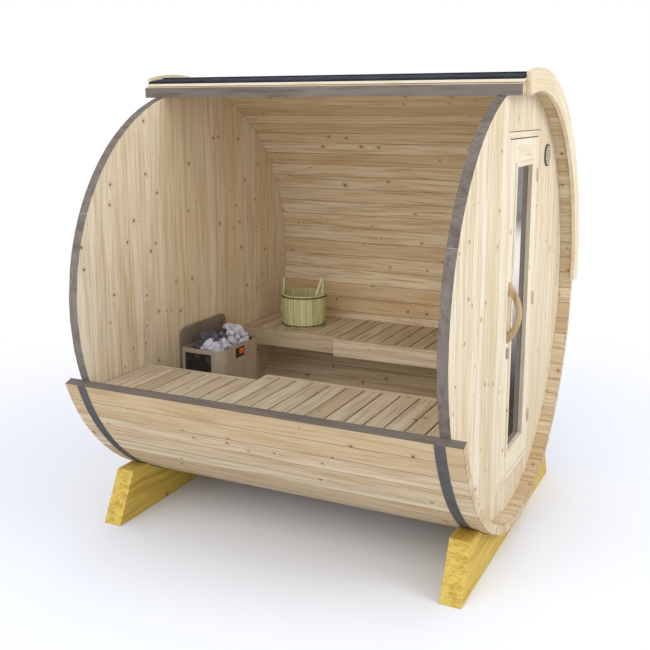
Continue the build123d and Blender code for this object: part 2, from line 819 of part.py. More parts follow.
# Ladle: a turned cup on a handle that leans on the bucket's right ear
cup_x = bucket_x - ladle_lean
cup_bottom = base + bucket_floor + touch_gap
handle_foot = (cup_x + ladle_cup_radius - ladle_wall / 2, cup_bottom + ladle_cup_height / 2)
ear_edge = (bucket_x + ear_inner_x, base + bucket_height + ear_height)
run = ear_edge[0] - handle_foot[0]
rise = ear_edge[1] - handle_foot[1]
lean = atan2(run, rise) - asin((ladle_handle_radius + touch_gap) / sqrt(run**2 + rise**2))
handle_plane = Plane(
    origin=from_axis(handle_foot[0], bucket_across, handle_foot[1]),
    x_dir=(0, 1, 0),
    z_dir=(sin(lean), 0, cos(lean)),
)
with BuildPart() as ladle:
    with BuildSketch(level(cup_bottom)):
        with Locations((cup_x, bucket_across)):
            Circle(ladle_cup_radius)
    extrude(amount=ladle_cup_height)
    fillet(ladle.faces().sort_by(Axis.Z)[0].edges(), ladle_cup_radius / 3)
    offset(amount=-ladle_wall, openings=ladle.faces().sort_by(Axis.Z)[-1])
    with BuildSketch(handle_plane):
        Circle(ladle_handle_radius)
    extrude(amount=ladle_handle_length)
save(ladle.part, "ladle")
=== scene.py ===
"""Barrel sauna on two cradles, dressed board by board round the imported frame.

Metres, in the frame of the CAD model: +X to the door end, +Y to the closed far side, +Z up.
Places across the barrel are given from its axis and moved to the frame by Barrel.at().
"""

import logging
import random
from dataclasses import dataclass, field
from enum import Enum
from itertools import product
from math import asin, atan2, ceil, copysign, cos, degrees, hypot, pi, radians, sin, sqrt
from typing import Callable, Iterable, Optional

import bmesh
import bpy
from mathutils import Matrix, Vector

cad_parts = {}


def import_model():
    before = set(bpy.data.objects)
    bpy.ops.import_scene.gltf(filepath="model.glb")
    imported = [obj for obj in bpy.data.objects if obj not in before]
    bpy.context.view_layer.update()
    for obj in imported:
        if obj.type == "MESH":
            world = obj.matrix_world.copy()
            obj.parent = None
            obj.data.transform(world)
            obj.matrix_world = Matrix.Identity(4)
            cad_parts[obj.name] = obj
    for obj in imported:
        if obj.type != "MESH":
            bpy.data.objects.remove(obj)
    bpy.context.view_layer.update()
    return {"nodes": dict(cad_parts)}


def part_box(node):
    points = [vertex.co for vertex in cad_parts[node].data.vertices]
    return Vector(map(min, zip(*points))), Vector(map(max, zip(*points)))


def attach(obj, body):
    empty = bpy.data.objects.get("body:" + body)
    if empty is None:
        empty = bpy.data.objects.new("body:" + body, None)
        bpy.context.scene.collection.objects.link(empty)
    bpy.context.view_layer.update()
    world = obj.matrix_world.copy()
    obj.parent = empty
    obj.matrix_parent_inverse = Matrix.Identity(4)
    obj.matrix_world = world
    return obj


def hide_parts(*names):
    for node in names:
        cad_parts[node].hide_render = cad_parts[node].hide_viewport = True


LOG = logging.getLogger("sauna")
MM = 0.001
TOUCH = 0.3 * MM
EASED_ANGLE, ROUND_ANGLE = radians(30), radians(25)
WHITE = (1.0, 1.0, 1.0, 1.0)
X_AXIS, Y_AXIS, Z_AXIS = (Vector(row) for row in ((1, 0, 0), (0, 1, 0), (0, 0, 1)))
Point = tuple[float, float]
Point3 = tuple[float, float, float]
Colour = tuple[float, float, float, float]
Test = Callable[[Vector, Vector], bool]
Tree, Node, Socket = bpy.types.NodeTree, bpy.types.Node, bpy.types.NodeSocket
Material, Piece = bpy.types.Material, bpy.types.Object


class Body(Enum):
    """The rigid bodies that pieces ride on."""

    CABIN = "cabin"
    DOOR = "door"


def linear(code: str) -> Colour:
    """Turns an sRGB hex colour into linear RGBA.

    Args:
        code: Six hex digits after a hash.

    Returns:
        The linear colour with full alpha.
    """
    parts = [int(code[i:i + 2], 16) / 255 for i in (1, 3, 5)]
    lin = [c / 12.92 if c <= 0.04045 else ((c + 0.055) / 1.055) ** 2.4 for c in parts]
    return (*lin, 1.0)


def feed(tree: Tree, node: Node, inputs: dict) -> None:
    """Gives a node its inputs.

    Args:
        tree: The node tree it stands in.
        node: The node.
        inputs: Socket name or number to a value, or to an output that feeds it.
    """
    for key, value in inputs.items():
        if isinstance(value, Socket):
            tree.links.new(value, node.inputs[key])
        else:
            node.inputs[key].default_value = value


def add_node(tree: Tree, kind: str, inputs: Optional[dict] = None, **settings) -> Node:
    """Adds one shader node with its settings, values and links.

    Args:
        tree: The node tree it goes into.
        kind: The node's type name after ShaderNode.
        inputs: What its sockets get, as in feed.
        **settings: Properties of the node itself.

    Returns:
        The new node.
    """
    node = tree.nodes.new("ShaderNode" + kind)
    for name, value in settings.items():
        setattr(node, name, value)
    feed(tree, node, inputs or {})
    return node


def calc(tree: Tree, operation: str, *values, kind: str = "Math") -> Socket:
    """The result of a sum on numbers, or on vectors where the kind says so."""
    return add_node(tree, kind, dict(enumerate(values)), operation=operation).outputs[0]


def noise(tree: Tree, place: Socket, scale: float, detail: float) -> Socket:
    """The value of a soft noise at a place."""
    return add_node(tree, "TexNoise", {"Vector": place, "Scale": scale, "Detail": detail}).outputs[0]


def ramp(tree: Tree, fac: Socket, low: float, high: float, to_low: float = 0.0, to_high: float = 1.0) -> Socket:
    """Maps a value from the span low to high onto the span to_low to to_high, with a smooth step."""
    return add_node(tree, "MapRange", {0: fac, 1: low, 2: high, 3: to_low, 4: to_high},
                    interpolation_type="SMOOTHSTEP").outputs[0]


def blend(tree: Tree, fac: Socket, first: Colour | Socket, second: Colour | Socket) -> Socket:
    """Mixes two colours, or their sockets, by the share of the second."""
    return add_node(tree, "Mix", {0: fac, 6: first, 7: second}, data_type="RGBA").outputs[2]


def new_material(name: str) -> tuple[Material, Tree, Node]:
    """Starts a material with its surface shader.

    Args:
        name: The material's name.

    Returns:
        The material, its tree and its surface shader.
    """
    material = bpy.data.materials.new(name)
    material.use_nodes = True
    return material, material.node_tree, material.node_tree.nodes["Principled BSDF"]


@dataclass(frozen=True)
class PlanedSoftwood:
    """Planed knotty softwood: soft streaks along each board, small dark knots, tone from board to board.

    The grain follows each board's own axes through the attribute "grain", and each board's
    shade comes from its attribute "tone". Sizes of knots are shares of knot_radius, and the edge
    values say where a mark starts and where it is full. Streaks are drawn about 7 mm wide, coarser than real
    growth rings of 1 to 3 mm, so that they show.
    """

    name: str
    pale: str
    warm: str
    streak: str
    knot: str = "#805a36"
    streak_share: float = 0.55
    halo_share: float = 0.45
    knot_spacing: float = 125 * MM
    knot_share: float = 0.45
    knot_radius: float = 6 * MM
    knot_sizes: Point = (0.45, 1.3)
    knot_edge: Point = (1.15, 0.7)
    ring_edge: Point = (3.6, 1.0)
    drift: float = 0.04
    streak_width: float = 7 * MM
    streak_edge: Point = (0.42, 0.72)
    band_width: float = 26 * MM
    band_edge: Point = (0.40, 0.70)
    roughness: float = 0.6

    def build(self) -> Material:
        """Makes the material."""
        material, tree, shader = new_material(self.name)
        grain = add_node(tree, "Attribute", attribute_name="grain").outputs["Vector"]
        tone = add_node(tree, "Attribute", attribute_name="tone").outputs["Fac"]
        scale = 1 / self.knot_spacing
        cells = add_node(tree, "TexVoronoi", {"Vector": grain, "Scale": scale}, voronoi_dimensions="2D").outputs
        lot = add_node(tree, "SeparateColor", {0: cells["Color"]}).outputs
        chosen = calc(tree, "LESS_THAN", lot[0], self.knot_share)
        size = ramp(tree, lot[1], 0.0, 1.0, *(share * self.knot_radius * scale for share in self.knot_sizes))
        near = calc(tree, "DIVIDE", cells["Distance"], size)
        knot = calc(tree, "MULTIPLY", ramp(tree, near, *self.knot_edge), chosen)
        ring = calc(tree, "MULTIPLY", ramp(tree, near, *self.ring_edge), chosen)
        # Streaks squeeze together beside a knot, as growth rings do
        scaled = add_node(tree, "VectorMath", {0: grain, 3: scale}, operation="SCALE").outputs[0]
        offset = calc(tree, "SUBTRACT", scaled, cells["Position"], kind="VectorMath")
        aside = add_node(tree, "SeparateXYZ", {0: offset}).outputs[1]
        pinch = calc(tree, "MULTIPLY", calc(tree, "MULTIPLY", aside, ring), 0.5 * self.knot_spacing)
        wander = calc(tree, "MULTIPLY_ADD", noise(tree, grain, 2.6, 1.0), self.drift, pinch)
        shift = add_node(tree, "CombineXYZ", {1: wander}).outputs[0]
        bent = calc(tree, "ADD", grain, shift, kind="VectorMath")
        fine, wide = (noise(tree, add_node(tree, "Mapping", {0: bent, 3: scales}).outputs[0], 1.0, 2.0)
                      for scales in ((4.5, 1 / self.streak_width, 60.0), (2.0, 1 / self.band_width, 18.0)))
        marks = calc(tree, "ADD", ramp(tree, fine, *self.streak_edge), ramp(tree, wide, *self.band_edge))
        colour = blend(tree, tone, linear(self.pale), linear(self.warm))
        for share, mark in ((calc(tree, "MULTIPLY", marks, self.streak_share), self.streak),
                            (calc(tree, "MULTIPLY", ring, self.halo_share), self.streak), (knot, self.knot)):
            colour = blend(tree, share, colour, linear(mark))
        feed(tree, shader, {
            "Base Color": colour,
            "Roughness": ramp(tree, marks, 0.0, 1.6, self.roughness, self.roughness + 0.12),
            "Specular IOR Level": 0.3,
            "Normal": add_node(tree, "Bump", {"Height": fine, "Strength": 0.25, "Distance": 0.5 * MM}).outputs[0]})
        return material


@dataclass(frozen=True)
class SpeckledCoat:
    """A painted, moulded or mineral surface: one colour broken by specks and soft clouds.

    The specks are paint orange peel, zinc spangle, mineral granules or stone crystals, drawn at
    the given size. The clouds are dust and uneven film. by_tone is the colour of a piece with tone
    1, and past_x says from which X on the surface has another colour.
    """

    name: str
    base: str
    speck: str
    speck_size: float
    cloud: str
    cloud_size: float
    speck_share: float = 0.5
    roughness: float = 0.5
    metallic: float = 0.0
    bump: float = 0.15
    by_tone: Optional[str] = None
    past_x: Optional[tuple[float, str]] = None

    def build(self) -> Material:
        """Makes the material."""
        material, tree, shader = new_material(self.name)
        place = add_node(tree, "TexCoord").outputs["Object"]
        specks = noise(tree, place, 1 / self.speck_size, 2.0)
        clouds = noise(tree, place, 1 / self.cloud_size, 3.0)
        colour = linear(self.base)
        if self.by_tone:
            tone = add_node(tree, "Attribute", attribute_name="tone").outputs["Fac"]
            colour = blend(tree, tone, colour, linear(self.by_tone))
        if self.past_x:
            side = add_node(tree, "SeparateXYZ", {0: place}).outputs[0]
            colour = blend(tree, calc(tree, "GREATER_THAN", side, self.past_x[0]), colour, linear(self.past_x[1]))
        colour = blend(tree, ramp(tree, clouds, 0.42, 0.75, 0.0, 0.6), colour, linear(self.cloud))
        colour = blend(tree, ramp(tree, specks, 0.5, 0.72, 0.0, self.speck_share), colour, linear(self.speck))
        feed(tree, shader, {
            "Base Color": colour,
            "Roughness": ramp(tree, clouds, 0.3, 0.8, self.roughness, min(1.0, self.roughness + 0.15)),
            "Metallic": self.metallic,
            "Specular IOR Level": 0.35,
            "Normal": add_node(tree, "Bump", {"Height": specks, "Strength": self.bump,
                                              "Distance": 0.8 * MM}).outputs[0]})
        return material


@dataclass(frozen=True)
class TintedGlass:
    """Toughened float glass with a grey tint: clear, smooth, with soft clouds of dust."""

    name: str = "tinted_float_glass"
    tint: str = "#7c7377"
    dust: str = "#8b8486"
    ior: float = 1.5

    def build(self) -> Material:
        """Makes the material."""
        material, tree, shader = new_material(self.name)
        place = add_node(tree, "TexCoord").outputs["Object"]
        film = noise(tree, place, 5.0, 4.0)
        colour = blend(tree, ramp(tree, film, 0.45, 0.8, 0.0, 0.35), linear(self.tint), linear(self.dust))
        feed(tree, shader, {"Base Color": colour, "Roughness": ramp(tree, film, 0.3, 0.8, 0.02, 0.10),
                            "IOR": self.ior, "Transmission Weight": 0.9})
        return material


class Finish(Enum):
    """Every finish of the sauna by its trade name."""

    STAVES = PlanedSoftwood("planed_spruce_staves", "#dfd0b2", "#c9b08a", "#b4956a")
    WALLS = PlanedSoftwood("planed_spruce_wall_boards", "#e4d8c0", "#d9c8a8", "#c6ae88")
    DOOR = PlanedSoftwood("planed_clear_spruce", "#e5dac2", "#dccdae", "#cbb590", streak_share=0.4, knot_share=0.12)
    TRIM = PlanedSoftwood("planed_spruce_arches", "#e5d9bf", "#dccba9", "#c9b28a", streak_share=0.4, knot_share=0.25)
    BENCH = PlanedSoftwood("planed_bench_boards", "#cfc1a8", "#b8a688", "#9c8768", streak_share=0.45, knot_share=0.3)
    SAWN_CUT = PlanedSoftwood("greyed_sawn_cut", "#7d746a", "#6f665c", "#5e554b", knot="#4b3f35", knot_share=0.3)
    ROOF_BOARDS = PlanedSoftwood("sawn_roof_boards", "#ece2cb", "#e2d4b8", "#d0bc96", streak_share=0.3)
    YELLOW_PINE = PlanedSoftwood("yellow_washed_pine", "#dcc464", "#cfb14c", "#b68c34", knot="#8a5f24",
                                 knot_share=0.3, knot_spacing=260 * MM, knot_radius=9 * MM)
    BEECH = PlanedSoftwood("steamed_beech", "#c9b08c", "#baa07a", "#9d8158", knot_share=0.0, streak_width=3 * MM)
    LADLE = PlanedSoftwood("turned_pale_beech", "#e2dabf", "#d6cca9", "#bfb187", knot_share=0.0, streak_width=3 * MM)
    BUCKET = PlanedSoftwood("bucket_staves", "#d6d5a6", "#c8c892", "#aaa66c", knot_share=0.05, streak_width=4 * MM)
    BAND = SpeckledCoat("galvanised_strap", "#6b6a6a", "#7d7b7a", 6 * MM, "#5b5958", 60 * MM,
                        roughness=0.55, metallic=0.3)
    HOOP = SpeckledCoat("dark_steel_hoop", "#5c5843", "#6d6852", 4 * MM, "#4a4635", 30 * MM,
                        roughness=0.45, metallic=0.5)
    ZINC = SpeckledCoat("yellow_passivated_zinc", "#dccdab", "#e6d9bb", 3 * MM, "#c9b68c", 30 * MM,
                        roughness=0.45, metallic=0.3)
    LATCH = SpeckledCoat("grey_powder_coat", "#9c968c", "#aca69c", 2 * MM, "#857f76", 20 * MM, roughness=0.45)
    LOUVRE = SpeckledCoat("cream_louvre_bars", "#d2c7ae", "#ddd3bc", 2 * MM, "#c0b59c", 20 * MM, roughness=0.5)
    VENT = SpeckledCoat("dark_moulded_louvre", "#4a4743", "#575450", 3 * MM, "#3a3734", 30 * MM, roughness=0.55)
    SHINGLE = SpeckledCoat("mineral_faced_bitumen", "#1b1f28", "#3a4150", 5 * MM, "#14171e", 90 * MM,
                           roughness=0.85, bump=0.5, by_tone="#2a303c")
    ENAMEL = SpeckledCoat("warm_grey_enamel", "#a99a85", "#b3a48f", 2 * MM, "#96876f", 90 * MM, roughness=0.4)
    HEAT_PAINT = SpeckledCoat("dark_heat_paint", "#81756a", "#8b8075", 3 * MM, "#6b6058", 60 * MM,
                              speck_share=0.3, roughness=0.6, past_x=(-0.805, "#191716"))
    PANEL = SpeckledCoat("black_control_plate", "#1d1b1a", "#2a2827", 2 * MM, "#151413", 20 * MM, roughness=0.35)
    AMBER = SpeckledCoat("amber_display_window", "#d9562a", "#f0a23c", 7 * MM, "#c23a1e", 15 * MM,
                         speck_share=0.8, roughness=0.3, bump=0.0)
    STONE = SpeckledCoat("broken_stone", "#3a3a3d", "#c9c8d2", 7 * MM, "#2d2d30", 25 * MM,
                         speck_share=0.25, roughness=0.8, bump=0.6, by_tone="#d8d7e2")
    GLASS = TintedGlass()

    def material(self) -> Material:
        """The finish's material, made on first use."""
        made = bpy.data.materials.get(self.value.name)
        return made or self.value.build()


class Boards:
    """Collects closed boards into one piece, each with its own grain axes and shade."""

    def __init__(self, name: str, seed: int) -> None:
        """Starts an empty piece.

        Args:
            name: The piece's name.
            seed: The seed of its shades and grain shifts.
        """
        self.name = name
        self.draw = random.Random(seed)
        self.points: list[Vector] = []
        self.faces: list[list[int]] = []
        self.grain: list[Vector] = []
        self.tone: list[float] = []

    def add(self, base: list[Vector], top: list[Vector], along: Vector, across: Vector,
            tone: Optional[float] = None) -> None:
        """Adds one board between two end outlines.

        Args:
            base: The outline of one end.
            top: The outline of the other end, point for point.
            along: The direction of the grain.
            across: The direction over the width.
            tone: The shade from 0 to 1, drawn where it is not given.
        """
        shade = self.draw.random() if tone is None else tone
        shift = Vector([self.draw.uniform(0, 40) for _ in range(3)])
        self.sweep([base, top], along.normalized(), across.normalized(), shade, shift)

    def sweep(self, rings: list[list[Vector]], along: Vector, across: Vector, tone: float,
              shift: Vector = Vector((0, 0, 0))) -> None:
        """Adds one solid skinned through rings of equal length, closed by its first and last ring.

        Args:
            rings: The rings in order, point for point.
            along: The direction of the grain.
            across: The direction over the width.
            tone: The shade from 0 to 1.
            shift: How far its grain is moved.
        """
        depth = along.cross(across)
        first, count = len(self.points), len(rings[0])
        for point in (p for ring in rings for p in ring):
            self.points.append(point)
            self.grain.append(Vector((point.dot(along), point.dot(across), point.dot(depth))) + shift)
            self.tone.append(tone)
        last = first + count * (len(rings) - 1)
        self.faces.append([first + i for i in reversed(range(count))])
        self.faces.append([last + i for i in range(count)])
        for low in range(first, last, count):
            for i in range(count):
                j = (i + 1) % count
                self.faces.append([low + i, low + j, low + count + j, low + count + i])

    def block(self, low: Vector, high: Vector, axis: int, tone: Optional[float] = None) -> None:
        """Adds a square-edged board along one axis.

        Args:
            low: Its lowest corner.
            high: Its highest corner.
            axis: 0, 1 or 2 for a board along X, Y or Z.
            tone: The shade from 0 to 1, drawn where it is not given.
        """
        one, two = [i for i in range(3) if i != axis]
        wide = one if high[one] - low[one] >= high[two] - low[two] else two
        ring = []
        for a, b in ((low, low), (high, low), (high, high), (low, high)):
            point = Vector(low)
            point[one], point[two] = a[one], b[two]
            ring.append(point)
        run = Vector()
        run[axis] = high[axis] - low[axis]
        side = Vector()
        side[wide] = 1.0
        self.add(ring, [p + run for p in ring], run, side, tone)

    def make(self, finishes: list[Finish], slot: str, nodes: Iterable[str], bevel: float = 1.5 * MM,
             cut: Optional[Test] = None, smooth: bool = False, body: Body = Body.CABIN) -> Piece:
        """Turns the boards into a piece of the scene.

        Args:
            finishes: The finish, and the finish of cut faces where there are any.
            slot: The record's material slot; not used.
            nodes: The CAD nodes it stands for.
            bevel: The width of the eased edges, 0 for none.
            cut: Says which faces are cut faces, from a face's middle and normal.
            smooth: Whether gentle bends are shaded round.
            body: The body it rides on.

        Returns:
            The piece.
        """
        mesh = bpy.data.meshes.new(self.name)
        mesh.from_pydata([p[:] for p in self.points], [], self.faces)
        work = bmesh.new()
        work.from_mesh(mesh)
        bmesh.ops.recalc_face_normals(work, faces=work.faces)
        for face in work.faces:
            face.smooth = smooth
            if cut and cut(face.calc_center_median(), face.normal):
                face.material_index = 1
        work.to_mesh(mesh)
        work.free()
        vectors = mesh.attributes.new("grain", "FLOAT_VECTOR", "POINT")
        vectors.data.foreach_set("vector", [c for g in self.grain for c in g])
        shades = mesh.attributes.new("tone", "FLOAT", "POINT")
        shades.data.foreach_set("value", self.tone)
        if smooth:
            mesh.set_sharp_from_angle(angle=ROUND_ANGLE)
        piece = bpy.data.objects.new(self.name, mesh)
        bpy.context.collection.objects.link(piece)
        for finish in finishes:
            mesh.materials.append(finish.material())
        if bevel:
            ease = piece.modifiers.new("eased_edges", "BEVEL")
            ease.width, ease.segments = bevel, 2
            ease.limit_method, ease.angle_limit = "ANGLE", EASED_ANGLE
            ease.use_clamp_overlap = True
            ease.harden_normals = smooth
            ease.material = 1 if cut else -1
        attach(piece, body.value)
        if nodes:
            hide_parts(*nodes)
        LOG.info("%s: %d shades, %d faces", self.name, len(set(self.tone)), len(self.faces))
        return piece


def turns(count: int) -> list[float]:
    """The angles of a full turn in equal steps, in radians."""
    return [2 * pi * i / count for i in range(count)]


def clip(outline: list[Point], normal: Point, limit: float) -> list[Point]:
    """Keeps the part of a flat outline on one side of a line.

    Args:
        outline: The corners in order.
        normal: The line's normal.
        limit: Points whose product with the normal is at least this stay.

    Returns:
        The corners of what stays.
    """
    kept: list[Point] = []
    for i, here in enumerate(outline):
        there = outline[(i + 1) % len(outline)]
        a = here[0] * normal[0] + here[1] * normal[1] - limit
        b = there[0] * normal[0] + there[1] * normal[1] - limit
        if a >= 0:
            kept.append(here)
        if (a < 0) != (b < 0):
            t = a / (a - b)
            kept.append((here[0] + t * (there[0] - here[0]), here[1] + t * (there[1] - here[1])))
    return kept


@dataclass
class Barrel:
    """The barrel's axis and the sizes that several pieces share."""

    radius: float = 1.025
    half_length: float = 0.945
    stave: float = 0.045
    seam_step: float = 5.0
    wall: float = 0.045
    wall_inset: float = 0.062
    roof_end: float = 92.5
    centre_y: float = field(init=False)
    centre_z: float = field(init=False)
    wall_radius: float = field(init=False)

    def __post_init__(self) -> None:
        """Takes the axis and the walls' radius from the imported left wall."""
        low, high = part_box("left_end_wall")
        self.centre_y = (low[1] + high[1]) / 2
        self.centre_z = (low[2] + high[2]) / 2
        self.wall_radius = (high[2] - low[2]) / 2

    @property
    def wall_outer(self) -> float:
        """The outer faces of the end walls along X."""
        return self.half_length - self.wall_inset

    @property
    def wall_inner(self) -> float:
        """The inner faces of the end walls along X."""
        return self.wall_outer - self.wall

    @property
    def flat_inside(self) -> float:
        """The distance from the axis to the middle of a stave's inner face."""
        return self.radius * cos(radians(self.seam_step / 2)) - self.stave

    def at(self, x: float, y: float, z: float) -> Vector:
        """A point given from the middle of the barrel's axis."""
        return Vector((x, self.centre_y + y, self.centre_z + z))

    def ring(self, radius: float, angle: float) -> Point:
        """A place in the cross-section, by its angle in degrees from the top to the far side."""
        return (radius * sin(radians(angle)), radius * cos(radians(angle)))

    def prism(self, boards: Boards, x0: float, x1: float, places: list[Point], along: Vector, across: Vector,
              tone: Optional[float] = None) -> None:
        """Adds a board to a piece, with one outline of the cross-section run from x0 to x1.

        Args:
            boards: The piece.
            x0: Where it starts along the barrel.
            x1: Where it ends.
            places: The outline's corners from the axis.
            along: The direction of the grain.
            across: The direction over the width.
            tone: The shade from 0 to 1, drawn where it is not given.
        """
        ends = [[self.at(x, y, z) for y, z in places] for x in (x0, x1)]
        boards.add(ends[0], ends[1], along, across, tone)

    def tangent(self, angle: float) -> Vector:
        """The direction round the barrel at an angle in degrees from its top."""
        return Vector((0, cos(radians(angle)), -sin(radians(angle))))

    def angle_of(self, point: Vector) -> float:
        """The angle from the top to the far side of a point, from 0 to 360 degrees."""
        return degrees(atan2(point.y - self.centre_y, point.z - self.centre_z)) % 360

    def radius_of(self, point: Vector) -> float:
        """The distance of a point from the axis."""
        return hypot(point.y - self.centre_y, point.z - self.centre_z)


@dataclass
class StaveShell:
    """The shell of flat staves, open between its near rim and the cut edge of its roof."""

    barrel: Barrel
    rim_seam: int = 50
    roof_seam: int = 8
    over_seam: int = -4
    part: int = 7
    roof_cut: float = -0.280
    joint: float = 0.3 * MM
    bevel: float = 0.9 * MM

    def stave(self, boards: Boards, seam: int) -> None:
        """Adds the stave after a seam, cut upright where it passes the roof's edge.

        Args:
            boards: The piece it goes into.
            seam: The seam's number, counted from the top.
        """
        b = self.barrel
        inner = b.flat_inside / cos(radians(b.seam_step / 2))
        slim = degrees(self.joint / b.radius)
        start, end = seam * b.seam_step + slim, (seam + 1) * b.seam_step - slim
        shape = [b.ring(b.radius, start), b.ring(b.radius, end), b.ring(inner, end), b.ring(inner, start)]
        if seam < self.roof_seam:
            shape = clip(shape, (1.0, 0.0), self.roof_cut)
        if len(shape) < 3:
            return
        b.prism(boards, -b.half_length, b.half_length, shape, X_AXIS, b.tangent((start + end) / 2))

    def is_cut(self, middle: Vector, normal: Vector) -> bool:
        """Finds the faces on the rim and on the roof's cut edge.

        Args:
            middle: The face's middle.
            normal: The face's normal.

        Returns:
            Whether the face is one of them.
        """
        b = self.barrel
        on_roof_cut = normal.y < -0.99 and abs(middle.y - b.centre_y - self.roof_cut) < MM
        rim = self.rim_seam * b.seam_step
        on_rim = abs(b.angle_of(middle) - rim) < 0.3 and normal.dot(b.tangent(rim)) > 0.9
        return on_roof_cut or on_rim

    def build(self) -> None:
        """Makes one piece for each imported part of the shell."""
        names = ("far_upper", "far_middle", "far_lower", "bottom_far", "bottom_near", "near_lower")
        parts = [("roof", self.over_seam, self.roof_seam)]
        for number, name in enumerate(names):
            first = self.roof_seam + number * self.part
            parts.append((name, first, first + self.part))
        for seed, (name, first, last) in enumerate(parts, start=11):
            boards = Boards(f"{name}_stave_boards", seed)
            for seam in range(first, last):
                self.stave(boards, seam)
            boards.make([Finish.STAVES, Finish.SAWN_CUT], "spruce_staves", [f"{name}_staves"],
                        self.bevel, self.is_cut)


@dataclass
class EndWalls:
    """Both round end walls of upright boards, with the doorway and the vent's hole in the right one."""

    barrel: Barrel
    board: float = 0.096
    doorway_near: float = -0.228
    doorway_far: float = 0.352
    doorway_bottom: float = -0.834
    doorway_top: float = 0.786
    vent_y: float = 0.5118
    vent_z: float = 0.6598
    vent_hole: float = 0.046
    joint: float = 0.2 * MM
    bevel: float = 0.5 * MM
    head_gap: float = 3.0 * MM
    arc_steps: int = 6

    def reach(self, y: float) -> float:
        """Half the height of the wall at a distance from its middle."""
        return sqrt(max(self.barrel.wall_radius ** 2 - y * y, 0.0))

    def board_shape(self, y0: float, y1: float, low: Optional[float], high: Optional[float]) -> list[Point]:
        """The outline of a board, cut by the round edge or at a given height.

        Args:
            y0: Its near side.
            y1: Its far side.
            low: The height of its lower end, or None at the round edge.
            high: The height of its upper end, or None at the round edge.

        Returns:
            The corners in order.
        """
        steps = [y0 + (y1 - y0) * i / self.arc_steps for i in range(self.arc_steps + 1)]
        floor = [(y, -self.reach(y)) for y in steps] if low is None else [(y0, low), (y1, low)]
        roof = [(y, self.reach(y)) for y in reversed(steps)] if high is None else [(y1, high), (y0, high)]
        for places, side in ((floor, y1), (roof, y0)):
            if abs(side - self.vent_y) < 2 * MM:
                places.extend(self.notch(side, upward=places is floor))
        return floor + roof

    def notch(self, side: float, upward: bool) -> list[Point]:
        """The half round cut in a board's side for the vent.

        Args:
            side: Where the side is.
            upward: Whether the outline runs up this side.

        Returns:
            The corners in the outline's order.
        """
        sign = -1.0 if upward else 1.0
        angles = [radians(-90 + 180 * i / 12) for i in range(13)]
        places = [(side + sign * self.vent_hole * cos(a), self.vent_z + self.vent_hole * sin(a))
                  for a in angles]
        return places if upward else places[::-1]

    def seams(self, start: float, stop: float, pitch: float) -> list[float]:
        """Spaces the seams, with the last board as wide as is left.

        Args:
            start: Where the first board starts.
            stop: Where the last board ends.
            pitch: The width of a board.

        Returns:
            The seams in order.
        """
        count = max(1, ceil(abs(stop - start) / pitch - 0.05))
        step = copysign(pitch, stop - start)
        return [start + step * i for i in range(count)] + [stop]

    def wall(self, boards: Boards, x0: float, seams: list[float], low: Optional[float] = None,
             high: Optional[float] = None) -> None:
        """Adds the boards between neighbouring seams.

        Args:
            boards: The piece they go into.
            x0: Their left face.
            seams: The seams.
            low: The height of their lower ends, or None at the round edge.
            high: The height of their upper ends, or None at the round edge.
        """
        b, seams = self.barrel, sorted(seams)
        for y0, y1 in zip(seams, seams[1:]):
            shape = self.board_shape(y0 + self.joint, y1 - self.joint, low, high)
            b.prism(boards, x0, x0 + b.wall, shape, Z_AXIS, Y_AXIS)

    def is_cut(self, middle: Vector, normal: Vector) -> bool:
        """Whether a face is on the round edge of a wall."""
        return abs(normal.x) < 0.5 and self.barrel.radius_of(middle) > self.barrel.wall_radius - 5 * MM

    def build(self) -> None:
        """Makes the left wall and the four parts of the right wall."""
        b = self.barrel
        rim = b.wall_radius - MM
        finishes = [Finish.WALLS, Finish.SAWN_CUT]

        def make(name: str, seed: int, seams: list[float], x0: float, **ends: float) -> None:
            """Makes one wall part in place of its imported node.

            Args:
                name: The node's name.
                seed: The seed of the part's shades.
                seams: The seams of its boards.
                x0: Its left face.
                **ends: The heights low or high where it stops short of the round edge.
            """
            boards = Boards(f"{name}_boards", seed)
            self.wall(boards, x0, seams, **ends)
            boards.make(finishes, "spruce_walls", [name], self.bevel, self.is_cut)

        make("left_end_wall", 31, self.seams(-rim, rim, self.board), -b.wall_outer)
        make("door_wall_near", 32, self.seams(self.doorway_near, -rim, self.board), b.wall_inner)
        far_pitch = (self.vent_y - self.doorway_far) / 2
        make("door_wall_far", 33, self.seams(self.doorway_far, rim, far_pitch), b.wall_inner)
        over = self.seams(self.doorway_near, self.doorway_far, self.board)
        make("door_wall_over", 34, over, b.wall_inner, low=self.doorway_top + self.head_gap)
        make("door_wall_under", 35, over, b.wall_inner, high=self.doorway_bottom)


